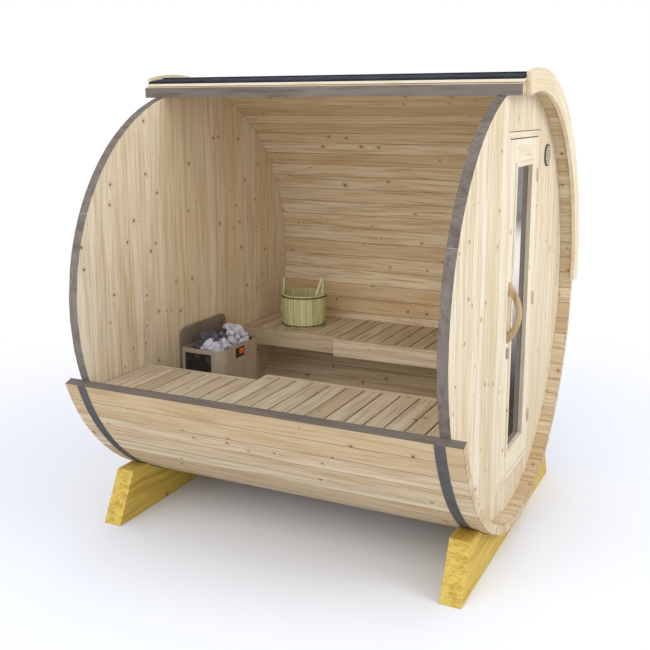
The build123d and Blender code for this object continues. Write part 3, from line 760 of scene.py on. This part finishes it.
@dataclass
class Doorway:
    """Frame, leaf, glazing bead, handles and fittings of the end door."""

    barrel: Barrel
    walls: EndWalls
    bar: float = 0.027
    gap: float = 0.005
    leaf: float = 0.040
    stile: float = 0.120
    rail: float = 0.122
    bead: float = 0.022
    bead_height: float = 0.006
    stop_width: float = 0.040
    stop: float = 0.020
    stop_overlap: float = 0.012
    groove: float = 0.0088
    rebate: float = 0.010
    pull_half: float = 0.1425
    pull_width: float = 0.028
    pull_depth: float = 0.026
    pull_foot: float = 0.052
    pull_z: float = -0.010
    outer_reach: float = 0.062
    inner_reach: float = 0.045

    def frame(self) -> None:
        """Makes the jambs, the head and the sill, and the stops behind them."""
        b, w = self.barrel, self.walls
        jambs = Boards("door_jamb_boards", 41)
        for y in (w.doorway_near, w.doorway_far - self.bar):
            jambs.block(b.at(b.wall_inner, y, w.doorway_bottom + self.bar),
                        b.at(b.wall_outer, y + self.bar, w.doorway_top - self.bar), 2)
        jambs.make([Finish.DOOR], "spruce_door", ["door_jambs"])
        head = Boards("door_head_and_sill_boards", 42)
        for z in (w.doorway_bottom, w.doorway_top - self.bar):
            head.block(b.at(b.wall_inner, w.doorway_near, z), b.at(b.wall_outer, w.doorway_far, z + self.bar), 1)
        head.make([Finish.DOOR], "spruce_door", ["door_head_and_sill"])
        stops = Boards("door_stop_battens", 43)
        y0, y1, z0, z1 = (e + sign * self.stop_overlap for e, sign in zip(self.leaf_edges(), (1, -1, 1, -1)))
        x0, x1 = b.wall_inner - self.stop, b.wall_inner
        for side in (y0 - self.stop_width, y1):
            stops.block(b.at(x0, side, z0), b.at(x1, side + self.stop_width, z1), 2)
        stops.block(b.at(x0, y0 - self.stop_width, z1), b.at(x1, y1 + self.stop_width, z1 + self.stop_width), 1)
        stops.make([Finish.DOOR], "spruce_door", ["door_stops"])

    def leaf_edges(self) -> tuple[float, float, float, float]:
        """The leaf's near, far, lower and upper edges from the axis."""
        w, inset = self.walls, self.bar + self.gap
        return w.doorway_near + inset, w.doorway_far - inset, w.doorway_bottom + inset, w.doorway_top - inset

    def leaf_boards(self) -> None:
        """Makes the stiles and rails in two layers with the groove of the glass between them."""
        b = self.barrel
        y0, y1, z0, z1 = self.leaf_edges()
        x0, x1 = b.wall_outer - self.leaf, b.wall_outer
        stiles = Boards("door_stile_boards", 44)
        rails = Boards("door_rail_boards", 45)
        g0, g1 = ((x0 + x1) / 2 + half for half in (-self.groove / 2, self.groove / 2))
        layers = ((x0, g0, 0.0), (g0, g1, self.rebate), (g1, x1, 0.0))
        for a, c, back in layers:
            for side, (ya, yb) in enumerate(((y0, y0 + self.stile - back), (y1 - self.stile + back, y1))):
                stiles.draw.seed(440 + side)
                stiles.block(b.at(a, ya, z0), b.at(c, yb, z1), 2)
            for side, (za, zb) in enumerate(((z0, z0 + self.rail - back), (z1 - self.rail + back, z1))):
                rails.draw.seed(450 + side)
                rails.block(b.at(a, y0 + self.stile + TOUCH, za), b.at(c, y1 - self.stile - TOUCH, zb), 1)
        stiles.make([Finish.DOOR], "spruce_door", ["door_stiles"], body=Body.DOOR, bevel=0.8 * MM)
        rails.make([Finish.DOOR], "spruce_door", ["door_rails"], body=Body.DOOR, bevel=0.8 * MM)

    def glazing_bead(self) -> None:
        """Makes the mitred bead round the glass."""
        b = self.barrel
        y0, y1, z0, z1 = self.leaf_edges()
        inner = (y0 + self.stile, y1 - self.stile, z0 + self.rail, z1 - self.rail)
        outer = (inner[0] - self.bead, inner[1] + self.bead, inner[2] - self.bead, inner[3] + self.bead)
        near, away = ([(e[0], e[2]), (e[1], e[2]), (e[1], e[3]), (e[0], e[3])] for e in (inner, outer))
        bead = Boards("door_bead_boards", 46)
        for i in range(4):
            j = (i + 1) % 4
            shape = [near[i], near[j], away[j], away[i]]
            run = Vector((0, near[j][0] - near[i][0], near[j][1] - near[i][1]))
            b.prism(bead, b.wall_outer, b.wall_outer + self.bead_height, shape, run, run.cross(X_AXIS), 0.3)
        bead.make([Finish.DOOR], "spruce_door", ["door_bead"], body=Body.DOOR, bevel=1.5 * MM)

    def pull(self, name: str, face_x: float, outward: float, reach: float) -> None:
        """Makes a bow handle, skinned through rounded sections from foot to foot.

        Args:
            name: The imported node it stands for.
            face_x: The face of the leaf it stands on.
            outward: The side it bows to, 1 or -1.
            reach: How far its middle stands off.
        """
        b = self.barrel
        y_mid = self.leaf_edges()[0] + self.stile / 2
        stations, points = 32, 24

        def bow(half: float, rise: float, share: float) -> Point:
            """A point of a bow between two feet.

            Args:
                half: Half the distance between the feet.
                rise: How far its middle stands off.
                share: The place along it, from -1 at its lower foot to 1 at its upper.

            Returns:
                The distance from the leaf and the height from the middle.
            """
            radius = (half ** 2 + rise ** 2) / (2 * rise)
            turn = asin(half / radius) * share
            return rise - radius + radius * cos(turn), radius * sin(turn)

        rings = []
        for number in range(stations + 1):
            share = 2 * number / stations - 1
            x0, z0 = bow(self.pull_half, reach, share)
            x1, z1 = bow(self.pull_half - self.pull_foot, reach - self.pull_depth, share)
            ring = []
            for turn in turns(points):
                u, v = (copysign(abs(c) ** 0.6, c) / 2 for c in (cos(turn), sin(turn)))
                x, z = (x0 + x1) / 2 + (x0 - x1) * u, (z0 + z1) / 2 + (z0 - z1) * u
                ring.append(b.at(face_x + outward * x, y_mid + self.pull_width * v, self.pull_z + z))
            rings.append(ring)
        pull = Boards(name + "_bow", 47)
        pull.sweep(rings, Z_AXIS, Y_AXIS, 0.4)
        pull.make([Finish.BEECH], "beech_pull", [name], body=Body.DOOR, bevel=0.0, smooth=True)

    def build(self) -> None:
        """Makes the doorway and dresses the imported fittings."""
        self.frame()
        self.leaf_boards()
        self.glazing_bead()
        self.pull("outer_pull", self.barrel.wall_outer, 1.0, self.outer_reach)
        self.pull("inner_pull", self.barrel.wall_outer - self.leaf, -1.0, self.inner_reach)


@dataclass
class RoofCover:
    """Thin roof boards over the staves, with lapped bitumen shingles cut into tabs."""

    barrel: Barrel
    deck_inner: float = 1.0271
    deck: float = 0.010
    thin: float = 0.005
    thick: float = 0.010
    courses: int = 12
    near_courses: int = 2
    near_end: float = -14.0
    deck_cut: float = -0.262
    deck_start: float = -12.5
    deck_strip: float = 5.0
    deck_strips: int = 22
    lap: float = 0.8 * MM
    tabs: int = 6
    slot: float = 5 * MM

    def band(self, inner: float, outer: float, start: float, end: float, grow: float = 0.0,
             steps: int = 4) -> list[Point]:
        """The outline of a strip round the roof.

        Args:
            inner: Its inner radius.
            outer: Its outer radius.
            start: The angle where it starts.
            end: The angle where it ends.
            grow: How much the outer radius grows on the way.
            steps: The number of flats.

        Returns:
            The corners in order.
        """
        b = self.barrel
        shares = [i / steps for i in range(steps + 1)]
        top = [b.ring(outer + grow * s, start + (end - start) * s) for s in shares]
        return top + [b.ring(inner, start + (end - start) * s) for s in reversed(shares)]

    def deck_boards(self) -> None:
        """Makes the roof boards along the barrel."""
        b = self.barrel
        deck = Boards("roof_deck_boards", 51)
        outer, slim = self.deck_inner + self.deck, 0.02
        first = degrees(asin(self.deck_cut / self.deck_inner))
        edges = [first] + [self.deck_start + self.deck_strip * i for i in range(self.deck_strips)]
        edges[-1] = b.roof_end
        for start, end in zip(edges, edges[1:]):
            is_first = start == first
            shape = self.band(self.deck_inner, outer, start - 1.0 if is_first else start + slim, end - slim, steps=2)
            if is_first:
                shape = clip(shape, (1.0, 0.0), self.deck_cut)
            b.prism(deck, -b.half_length, b.half_length, shape, X_AXIS, b.tangent((start + end) / 2))
        deck.make([Finish.ROOF_BOARDS], "roof_boards", ["roof_deck"], bevel=0.6 * MM)

    def course(self, shingles: Boards, upper: float, lower: float, stagger: float) -> None:
        """Adds one course, as a solid layer with the tabs over it.

        Args:
            shingles: The piece it goes into.
            upper: The angle of its upper edge.
            lower: The angle of its lower edge.
            stagger: The share of a tab by which it is set off.
        """
        b = self.barrel
        base = self.deck_inner + self.deck
        width = 2 * b.half_length / self.tabs
        split = base + self.thin - self.lap
        lap = self.band(base, split, upper, lower)
        b.prism(shingles, -b.half_length, b.half_length, lap, X_AXIS, Y_AXIS, 0.0)
        shape = self.band(split, base + self.thin, upper, lower, self.thick - self.thin)
        start = -b.half_length - stagger * width
        for number in range(self.tabs + 1):
            x0 = max(start + number * width + self.slot / 2, -b.half_length)
            x1 = min(start + (number + 1) * width - self.slot / 2, b.half_length)
            if x1 - x0 > 2 * self.slot:
                b.prism(shingles, x0, x1, shape, X_AXIS, Y_AXIS)

    def build(self) -> None:
        """Makes the roof boards and the shingles."""
        self.deck_boards()
        shingles = Boards("roof_shingle_tabs", 52)
        step, back = self.barrel.roof_end / self.courses, self.near_end / self.near_courses
        rows = [(step, n, n % 2) for n in range(self.courses)]
        rows += [(back, n, (n + 1) % 2) for n in range(self.near_courses)]
        for pitch, number, odd in rows:
            self.course(shingles, number * pitch, (number + 1) * pitch, 0.5 * odd)
        shingles.make([Finish.SHINGLE], "bitumen_shingle", ["roof_shingles"], bevel=0.0)


@dataclass
class ArchTrims:
    """Arched boards over both ends of the roof, each arch in four lengths."""

    barrel: Barrel
    inner: float = 0.960
    outer: float = 1.060
    start: float = -12.5
    lengths: int = 4
    thickness: float = 0.020
    joint: float = 1.0 * MM

    def build(self) -> None:
        """Makes both arches."""
        b = self.barrel
        step = (b.roof_end - self.start) / self.lengths
        slim = degrees(self.joint / self.inner)
        for seed, (name, x0) in enumerate((("trim_left", -b.half_length - self.thickness - TOUCH),
                                           ("trim_right", b.half_length + TOUCH)), start=61):
            arch = Boards(name + "_boards", seed)
            for number in range(self.lengths):
                a0 = self.start + number * step
                a1 = a0 + step - slim
                angles = [a0 + (a1 - a0) * i / 12 for i in range(13)]
                shape = [b.ring(self.outer, a) for a in angles] + [b.ring(self.inner, a) for a in angles[::-1]]
                middle = (a0 + a1) / 2
                across = Vector((0, sin(radians(middle)), cos(radians(middle))))
                b.prism(arch, x0, x0 + self.thickness, shape, b.tangent(middle), across)
            arch.make([Finish.TRIM], "spruce_trim", [name], bevel=1.5 * MM, smooth=True)


@dataclass
class Benches:
    """Two benches of crosswise boards on rails, shallower beside the heater, edged by their fascias."""

    barrel: Barrel
    top: float = -0.370
    thickness: float = 0.028
    board: float = 0.0804
    gap: float = 0.0075
    wall_gap: float = 0.006
    aisle: float = 0.375
    jog: float = -0.230
    near_setback: float = 0.097
    far_setback: float = 0.048
    fascia: float = 0.028
    fascia_height: float = 0.068
    rail: float = 0.045
    rail_height: float = 0.068
    fascia_gap: float = 1.5 * MM

    def bar(self, boards: Boards, side: float, x: Point, y: Point, z: Point, axis: int) -> None:
        """Adds a board of one bench.

        Args:
            boards: The piece it goes into.
            side: 1 for the far bench, -1 for the near one.
            x: Its ends along the barrel.
            y: Its sides, counted away from the barrel's middle.
            z: Its lower and upper faces.
            axis: 0 for a board along the barrel, 1 across it.
        """
        ends = sorted(side * place for place in y)
        boards.block(self.barrel.at(x[0], ends[0], z[0]), self.barrel.at(x[1], ends[1], z[1]), axis)

    def build(self) -> None:
        """Makes the boards, fascias and rails of both benches."""
        b = self.barrel
        low = self.top - self.thickness
        rail_low = low - self.rail_height
        reach = b.wall_inner - TOUCH
        pitch = self.board + self.gap
        count = int((2 * b.wall_inner - 2 * self.wall_gap + self.gap) // pitch)
        outer, rail_back = (sqrt(b.flat_inside ** 2 - z ** 2) - self.wall_gap for z in (low, rail_low))
        jog_board = round((b.wall_inner - self.wall_gap - self.jog) / pitch)
        jog_x = b.wall_inner - self.wall_gap - jog_board * pitch + self.gap / 2
        rails = Boards("bench_rail_boards", 75)
        for seed, side, setback in ((71, -1.0, self.near_setback), (73, 1.0, self.far_setback)):
            name = "near_bench" if side < 0 else "far_bench"
            boards = Boards(name + "_slats", seed)
            for number in range(count):
                x1 = b.wall_inner - self.wall_gap - number * pitch
                shallow = setback if x1 - self.board / 2 < self.jog else 0.0
                inner = self.aisle + self.fascia + self.fascia_gap + shallow
                self.bar(boards, side, (x1 - self.board, x1), (inner, outer), (low, self.top), 1)
            boards.make([Finish.BENCH], "aspen_bench", [name + "_boards"], bevel=3 * MM)
            fascia = Boards(name + "_fascia_boards", seed + 1)
            for x0, x1, back in ((-reach, jog_x - TOUCH, setback), (jog_x, reach, 0.0)):
                front = self.aisle + back
                self.bar(fascia, side, (x0, x1), (front, front + self.fascia),
                         (low - self.fascia_height, self.top), 0)
            fascia.make([Finish.BENCH], "aspen_bench", [name + "_fascia"], bevel=2 * MM)
            for start in (self.aisle + setback + self.fascia + TOUCH, rail_back - self.rail):
                self.bar(rails, side, (-reach, reach), (start, start + self.rail), (rail_low, low), 0)
        rails.make([Finish.BENCH], "aspen_bench", ["bench_rails"])


@dataclass
class Duckboard:
    """Slats along the aisle on bearers that are cut to the curve of the staves."""

    barrel: Barrel
    top: float = -0.840
    slat: float = 0.095
    gap: float = 0.008
    thickness: float = 0.028
    count: int = 7
    wall_gap: float = 0.006
    bearer: float = 0.045
    bearers: int = 3
    inset: float = 0.140

    def build(self) -> None:
        """Makes the slats and the bearers."""
        b = self.barrel
        pitch = self.slat + self.gap
        reach = b.wall_inner - self.wall_gap
        slats = Boards("floor_slat_boards", 81)
        for number in range(self.count):
            middle = (number - (self.count - 1) / 2) * pitch
            slats.block(b.at(-reach, middle - self.slat / 2, self.top - self.thickness),
                        b.at(reach, middle + self.slat / 2, self.top), 0)
        slats.make([Finish.BENCH], "aspen_bench", ["floor_slats"], bevel=3 * MM)
        under = Boards("floor_bearer_boards", 82)
        radius = b.flat_inside - TOUCH
        height = self.top - self.thickness
        half = min(self.count * pitch / 2, sqrt(radius ** 2 - height ** 2))
        spread = degrees(asin(half / radius))
        floor = [b.ring(radius, 180 + spread - 2 * spread * i / 16) for i in range(17)]
        shape = [(-half, height), (half, height)] if floor[0][1] < height - MM else []
        shape = floor + shape[::-1]
        far = b.wall_inner - self.inset
        for number in range(self.bearers):
            x = -far + number * 2 * far / (self.bearers - 1)
            b.prism(under, x - self.bearer / 2, x + self.bearer / 2, shape, Y_AXIS, Z_AXIS)
        under.make([Finish.BENCH], "aspen_bench", ["floor_bearers"])


@dataclass
class Cradles:
    """Two tapered beams of yellow-washed pine with a round seat."""

    barrel: Barrel
    foot: float = 0.790
    top: float = 0.672
    height: float = 0.238
    seat: float = 1.0271
    ground: float = -1.100
    steps: int = 24

    def build(self) -> None:
        """Makes both beams."""
        b = self.barrel
        level = self.ground + self.height
        half = sqrt(self.seat ** 2 - level ** 2)
        spread = degrees(asin(half / self.seat))
        arc = [b.ring(self.seat, 180 - spread + 2 * spread * i / self.steps) for i in range(self.steps + 1)]
        shape = [(-self.top, level), (-self.foot, self.ground), (self.foot, self.ground), (self.top, level)] + arc
        for seed, name in ((91, "cradle_left"), (92, "cradle_right")):
            low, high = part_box(name)
            beam = Boards(name + "_beam", seed)
            b.prism(beam, low[0], high[0], shape, Y_AXIS, Z_AXIS, 0.4)
            beam.make([Finish.YELLOW_PINE], "treated_pine", [name], bevel=3 * MM)


@dataclass
class Heater:
    """The heater's heap of broken stones in its packed sheet case."""

    barrel: Barrel
    x0: float = -0.812
    x1: float = -0.582
    y0: float = -0.203
    y1: float = 0.183
    rim: float = -0.362
    stone: float = 0.034
    slope: float = 0.9
    wobble: float = 5 * MM
    wobble_x: float = 4 * MM
    layers: tuple[tuple[float, int, int], ...] = ((0.0, 6, 4), (0.030, 5, 3), (0.056, 4, 2))
    plate: tuple[float, ...] = (-0.032, -0.384, 0.086, 0.052)
    window: tuple[float, ...] = (-0.020, -0.380, 0.046, 0.030)

    def stone_points(self, draw: random.Random) -> tuple[list[Vector], list[list[int]]]:
        """Breaks a round stone of unit size along random planes.

        Args:
            draw: The source of its shape.

        Returns:
            Its points and its faces.
        """
        work = bmesh.new()
        bmesh.ops.create_icosphere(work, subdivisions=2, radius=1.0)
        squash = Vector([draw.uniform(0.75, 1.15) for _ in range(3)])
        planes = []
        for _ in range(9):
            normal = Vector([draw.gauss(0, 1) for _ in range(3)]).normalized()
            planes.append((normal, draw.uniform(0.55, 0.8)))
        for vert in work.verts:
            for normal, limit in planes:
                over = vert.co.dot(normal) - limit
                if over > 0:
                    vert.co -= normal * over
            vert.co = Vector([c * s for c, s in zip(vert.co, squash)])
        work.verts.index_update()
        points = [v.co.copy() for v in work.verts]
        faces = [[v.index for v in f.verts] for f in work.faces]
        work.free()
        return points, faces

    def build(self) -> None:
        """Makes the heap in place of its packed stand-in."""
        b = self.barrel
        draw = random.Random(101)
        heap = Boards("heater_stone_heap", 102)
        for lift, rows, columns in self.layers:
            inset = lift * self.slope
            for row, column in product(range(rows), range(columns)):
                share_y, share_x = (row + 0.5) / rows, (column + 0.5) / columns
                size = self.stone * draw.uniform(0.85, 1.2)
                y = self.y0 + size + (self.y1 - self.y0 - 2 * size) * share_y + draw.uniform(-1, 1) * self.wobble
                x = self.x0 + size + inset / 2 + (self.x1 - self.x0 - 2 * size - inset) * share_x
                x += draw.uniform(-1, 1) * self.wobble_x
                centre = b.at(x, y, self.rim + lift + draw.uniform(-1, 1) * self.wobble)
                points, faces = self.stone_points(draw)
                dark = share_x < 0.55 and share_y < 0.7 and column == 0 or lift > 0.05 and share_y < 0.6
                tone = draw.uniform(0.0, 0.12) if dark else draw.uniform(0.75, 1.0)
                heap.faces.extend([len(heap.points) + i for i in face] for face in faces)
                heap.points.extend(centre + point * size for point in points)
                heap.grain.extend(points)
                heap.tone.extend(tone for _ in points)
        heap.make([Finish.STONE], "sauna_stone", ["heater_stones"], bevel=0.0)
        self.control()

    def control(self) -> None:
        """Makes the small dark control plate and its lit amber window on the front of the case."""
        b = self.barrel
        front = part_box("heater_case")[1][0]
        for name, seed, finish, out, (y, z, wide, high) in (
                ("heater_control_plate", 103, Finish.PANEL, 3 * MM, self.plate),
                ("heater_control_window", 104, Finish.AMBER, 4 * MM, self.window)):
            piece = Boards(name, seed)
            piece.block(b.at(front, y - wide / 2, z - high / 2), b.at(front + out, y + wide / 2, z + high / 2), 1)
            piece.make([finish], "heater_dark_steel", [], bevel=1 * MM)


@dataclass
class BucketAndLadle:
    """A coopered bucket with two ears, and a turned ladle that leans in it."""

    barrel: Barrel
    x: float = -0.530
    y: float = 0.630
    foot: float = -0.3697
    height: float = 0.190
    top: float = 0.134
    base: float = 0.124
    wall: float = 0.011
    floor: float = 0.014
    ear: float = 0.085
    ear_taper: float = 0.53
    staves: int = 22
    joint: float = 0.007
    cup: float = 0.042
    cup_height: float = 0.046
    lean: float = 0.010
    handle: float = 0.008
    handle_length: float = 0.268

    def place(self, radius: float, angle: float, z: float) -> Vector:
        """A point round the bucket's middle, by its angle from +X."""
        return self.barrel.at(self.x + radius * cos(angle), self.y + radius * sin(angle), self.foot + z)

    def bucket(self) -> None:
        """Makes the staves, two of them taller for the ears, and the bottom."""
        bucket = Boards("bucket_stave_boards", 111)
        step = 2 * pi / self.staves
        for number in range(self.staves):
            middle = number * step
            edges = (middle - step / 2 + self.joint, middle + step / 2 - self.joint)
            across = Vector((-sin(middle), cos(middle), 0))
            tone = bucket.draw.random()
            foot, head = ([(r, edges[0]), (r, edges[1]), (r - self.wall, edges[1]), (r - self.wall, edges[0])]
                          for r in (self.base, self.top))
            rings = [[self.place(r, a, z) for r, a in ring] for ring, z in ((foot, 0.0), (head, self.height))]
            bucket.add(*rings, Z_AXIS, across, tone)
            if number in (0, self.staves // 2):
                tip = [self.place(r, middle + (a - middle) * self.ear_taper, self.height + self.ear) for r, a in head]
                bucket.add(rings[1], tip, Z_AXIS, across, tone)
        rim = [self.place(self.base - self.wall + 1 * MM, a, 0.002) for a in turns(44)]
        bucket.add(rim, [p + Vector((0, 0, self.floor - 0.002)) for p in rim], X_AXIS, Y_AXIS)
        bucket.make([Finish.BUCKET], "bucket_wood", ["bucket"], bevel=2.0 * MM)

    def ladle(self) -> None:
        """Makes the turned cup and the round handle."""
        b = self.barrel
        ladle = Boards("ladle_turning", 112)
        cup_x, low = self.x - self.lean, self.foot + self.floor + TOUCH
        middle = b.at(cup_x, self.y, low)
        outer = [(0.30, 0.0), (0.62, 0.0), (0.85, 0.12), (0.96, 0.33), (1.0, 0.6), (1.0, 1.0)]
        inner = [(0.905, 1.0), (0.905, 0.6), (0.84, 0.34), (0.6, 0.12), (0.3, 0.1)]
        rings = [[middle + Vector((self.cup * r * cos(a), self.cup * r * sin(a), self.cup_height * h))
                  for a in turns(32)] for r, h in outer + inner]
        ladle.sweep(rings, Z_AXIS, X_AXIS, 0.3)
        box_low, box_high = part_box("ladle")
        start = b.at(cup_x + self.cup - 0.002, self.y, low + self.cup_height / 2)
        tip = Vector((box_high[0] - self.handle * 0.8, start.y, box_high[2] - self.handle * 0.5))
        line = (tip - start).normalized()
        side = Y_AXIS
        up = line.cross(side)
        end = start + line * self.handle_length
        ring = [start + (side * cos(a) + up * sin(a)) * self.handle for a in turns(20)]
        ladle.add(ring, [p - start + end for p in ring], line, side, tone=0.5)
        ladle.make([Finish.LADLE], "beech_pull", ["ladle"], bevel=1.0 * MM, smooth=True)

    def build(self) -> None:
        """Makes the bucket and the ladle."""
        self.bucket()
        self.ladle()


@dataclass
class VentLouvres:
    """Pale bars over the dark vent, each a little shorter than the round behind it."""

    barrel: Barrel
    bar: float = 5.0 * MM
    pitch: float = 10 * MM
    count: int = 9
    rise: float = 1.5 * MM
    rim: float = 0.985

    def build(self) -> None:
        """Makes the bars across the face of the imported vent."""
        low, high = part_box("wall_vent")
        middle = (Vector(low) + Vector(high)) / 2
        radius = (high[2] - low[2]) / 2 * self.rim
        bars = Boards("vent_louvre_bars", 121)
        for number in range(self.count):
            z = (number - (self.count - 1) / 2) * self.pitch
            half = sqrt(radius ** 2 - z ** 2)
            bars.block(Vector((high[0] - MM, middle.y - half, middle.z + z - self.bar / 2)),
                       Vector((high[0] + self.rise, middle.y + half, middle.z + z + self.bar / 2)), 1, tone=0.5)
        bars.make([Finish.LOUVRE], "dark_vent", [], bevel=0.6 * MM)


@dataclass
class PackedPieces:
    """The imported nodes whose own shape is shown, each with its finish."""

    finishes: dict[str, Finish] = field(default_factory=lambda: {
        "door_glass": Finish.GLASS,
        "door_latch": Finish.LATCH,
        "door_hinges": Finish.ZINC,
        "jamb_hinges": Finish.ZINC,
        "wall_vent": Finish.VENT,
        "band_left": Finish.BAND,
        "band_right": Finish.BAND,
        "heater_case": Finish.ENAMEL,
        "heater_back_plate": Finish.HEAT_PAINT,
        "bucket_hoops": Finish.HOOP,
    })

    def build(self, nodes: dict[str, Piece]) -> None:
        """Assigns the finishes to the nodes' own slots.

        Args:
            nodes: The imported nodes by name.
        """
        for name, finish in self.finishes.items():
            node = nodes[name]
            if not node.material_slots:
                node.data.materials.append(finish.material())
            for slot in node.material_slots:
                slot.material = finish.material()
            LOG.info("%s: %s", name, finish.value.name)


@dataclass
class Studio:
    """Pale floor, soft lamps and the camera at the photograph's place."""

    barrel: Barrel
    camera_from_axis: Point3 = (1.86486, -4.04334, 0.88101)
    azimuth: float = 25.779
    elevation: float = 10.780
    lens: float = 50.257
    sensor: float = 36.0
    shift_y: float = -0.0656
    ambient: float = 1.08
    key_power: float = 125.0
    fill_power: float = 84.0
    bounce_power: float = 3.5
    gloss_level: float = 0.75
    floor_colour: str = "#eaedf2"
    floor_radius: float = 14.0
    floor_fade: Point = (1.6, 4.2)
    gloss_rise: tuple[float, ...] = (2.2, 8.0, 0.10, 3.6)
    gloss_fall: tuple[float, ...] = (9.5, 13.5, 0.0, 2.9)

    def world(self) -> None:
        """Soft ambient light, with a white background for the camera and glass, a little less for gloss."""
        world = bpy.data.worlds.new("studio")
        bpy.context.scene.world = world
        world.use_nodes = True
        tree = world.node_tree
        tree.nodes.clear()
        path = add_node(tree, "LightPath").outputs
        seen = calc(tree, "MAXIMUM", path["Is Camera Ray"], path["Is Glossy Ray"])
        seen = calc(tree, "MAXIMUM", seen, path["Is Transmission Ray"])
        level = ramp(tree, path["Is Glossy Ray"], 0.0, 1.0, 1.0, self.gloss_level)
        soft, white = (add_node(tree, "Background", {0: colour, 1: strength}).outputs[0]
                       for colour, strength in ((linear("#f6f8ff"), self.ambient), (WHITE, level)))
        mix = add_node(tree, "MixShader", {0: seen, 1: soft, 2: white})
        add_node(tree, "OutputWorld", {0: mix.outputs[0]})

    def floor(self) -> None:
        """A wide pale floor that fades into the white background, with a gradient of its own for gloss."""
        work = bmesh.new()
        bmesh.ops.create_circle(work, cap_ends=True, segments=64, radius=self.floor_radius)
        mesh = bpy.data.meshes.new("studio_floor")
        work.to_mesh(mesh)
        work.free()
        floor = bpy.data.objects.new("studio_floor", mesh)
        bpy.context.collection.objects.link(floor)
        material, tree, shader = new_material("pale_studio_floor")
        feed(tree, shader, {"Base Color": linear(self.floor_colour), "Roughness": 0.9, "Specular IOR Level": 0.1})
        place = add_node(tree, "TexCoord").outputs["Object"]
        away = add_node(tree, "VectorMath", {0: place}, operation="LENGTH").outputs["Value"]
        path = add_node(tree, "LightPath").outputs
        seen = calc(tree, "MAXIMUM", path["Is Camera Ray"], path["Is Transmission Ray"])
        fade = calc(tree, "MULTIPLY", ramp(tree, away, *self.floor_fade), seen)
        # Glossy rays meet a dark floor near the barrel and a bright strip far behind it, which the glass shows
        strip = calc(tree, "SUBTRACT", ramp(tree, away, *self.gloss_rise), ramp(tree, away, *self.gloss_fall))
        surface = shader.outputs[0]
        for share, colour, strength in ((fade, WHITE, 1.0), (path["Is Glossy Ray"], linear("#e4e0e6"), strip)):
            glow = add_node(tree, "Emission", {0: colour, 1: strength}).outputs[0]
            surface = add_node(tree, "MixShader", {0: share, 1: surface, 2: glow}).outputs[0]
        feed(tree, tree.nodes["Material Output"], {0: surface})
        mesh.materials.append(material)

    def hang(self, thing: Piece, place: Vector, ahead: Vector) -> None:
        """Puts a lamp or a camera into the scene.

        Args:
            thing: The lamp or camera.
            place: Where it stands.
            ahead: The direction it looks in.
        """
        thing.location = place
        thing.rotation_mode = "QUATERNION"
        thing.rotation_quaternion = ahead.to_track_quat("-Z", "Y")
        bpy.context.collection.objects.link(thing)

    def lamp(self, name: str, place: Point3, target: Point3, size: float, power: float, colour: str) -> None:
        """Adds one square soft lamp.

        Args:
            name: The lamp's name.
            place: Where it stands from the barrel's middle.
            target: What it points at, from there too.
            size: Its side.
            power: Its power in watts.
            colour: Its sRGB colour.
        """
        data = bpy.data.lights.new(name, "AREA")
        data.energy, data.size = power, size
        data.color = linear(colour)[:3]
        lamp = bpy.data.objects.new(name, data)
        lamp.visible_camera = False
        here, there = (self.barrel.at(*spot) for spot in (place, target))
        self.hang(lamp, here, there - here)

    def camera(self) -> None:
        """Sets the camera where the photograph was taken from."""
        data = bpy.data.cameras.new("photo_camera")
        data.lens, data.sensor_width, data.shift_y = self.lens, self.sensor, self.shift_y
        camera = bpy.data.objects.new("photo_camera", data)
        a, e = radians(self.azimuth), radians(self.elevation)
        ahead = Vector((-sin(a) * cos(e), cos(a) * cos(e), -sin(e)))
        self.hang(camera, self.barrel.at(*self.camera_from_axis), ahead)
        bpy.context.scene.camera = camera

    def build(self) -> None:
        """Sets up the whole studio."""
        self.world()
        self.floor()
        self.lamp("key", (6.0, -0.4, 3.2), (0, 0, 0), 3.0, self.key_power, "#ffffff")
        self.lamp("fill", (-0.6, -5.0, 3.0), (0, 0, 0), 4.0, self.fill_power, "#fafbff")
        self.lamp("cabin_bounce", (0.2, -0.5, -0.25), (0.2, 0.5, 0.7), 0.9, self.bounce_power, "#fff6ea")
        self.camera()
        bpy.context.scene.view_settings.view_transform = "Standard"


def main() -> None:
    logging.basicConfig(level=logging.INFO, format="%(name)s %(message)s")
    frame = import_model()
    barrel = Barrel()
    walls = EndWalls(barrel)
    Studio(barrel).build()
    rest = (RoofCover, ArchTrims, Benches, Duckboard, Cradles, Heater, BucketAndLadle, VentLouvres)
    for assembly in (StaveShell(barrel), walls, Doorway(barrel, walls), *(kind(barrel) for kind in rest)):
        assembly.build()
        LOG.info("built %s", type(assembly).__name__)
    PackedPieces().build(frame["nodes"])


if __name__ == "__main__":
    main()
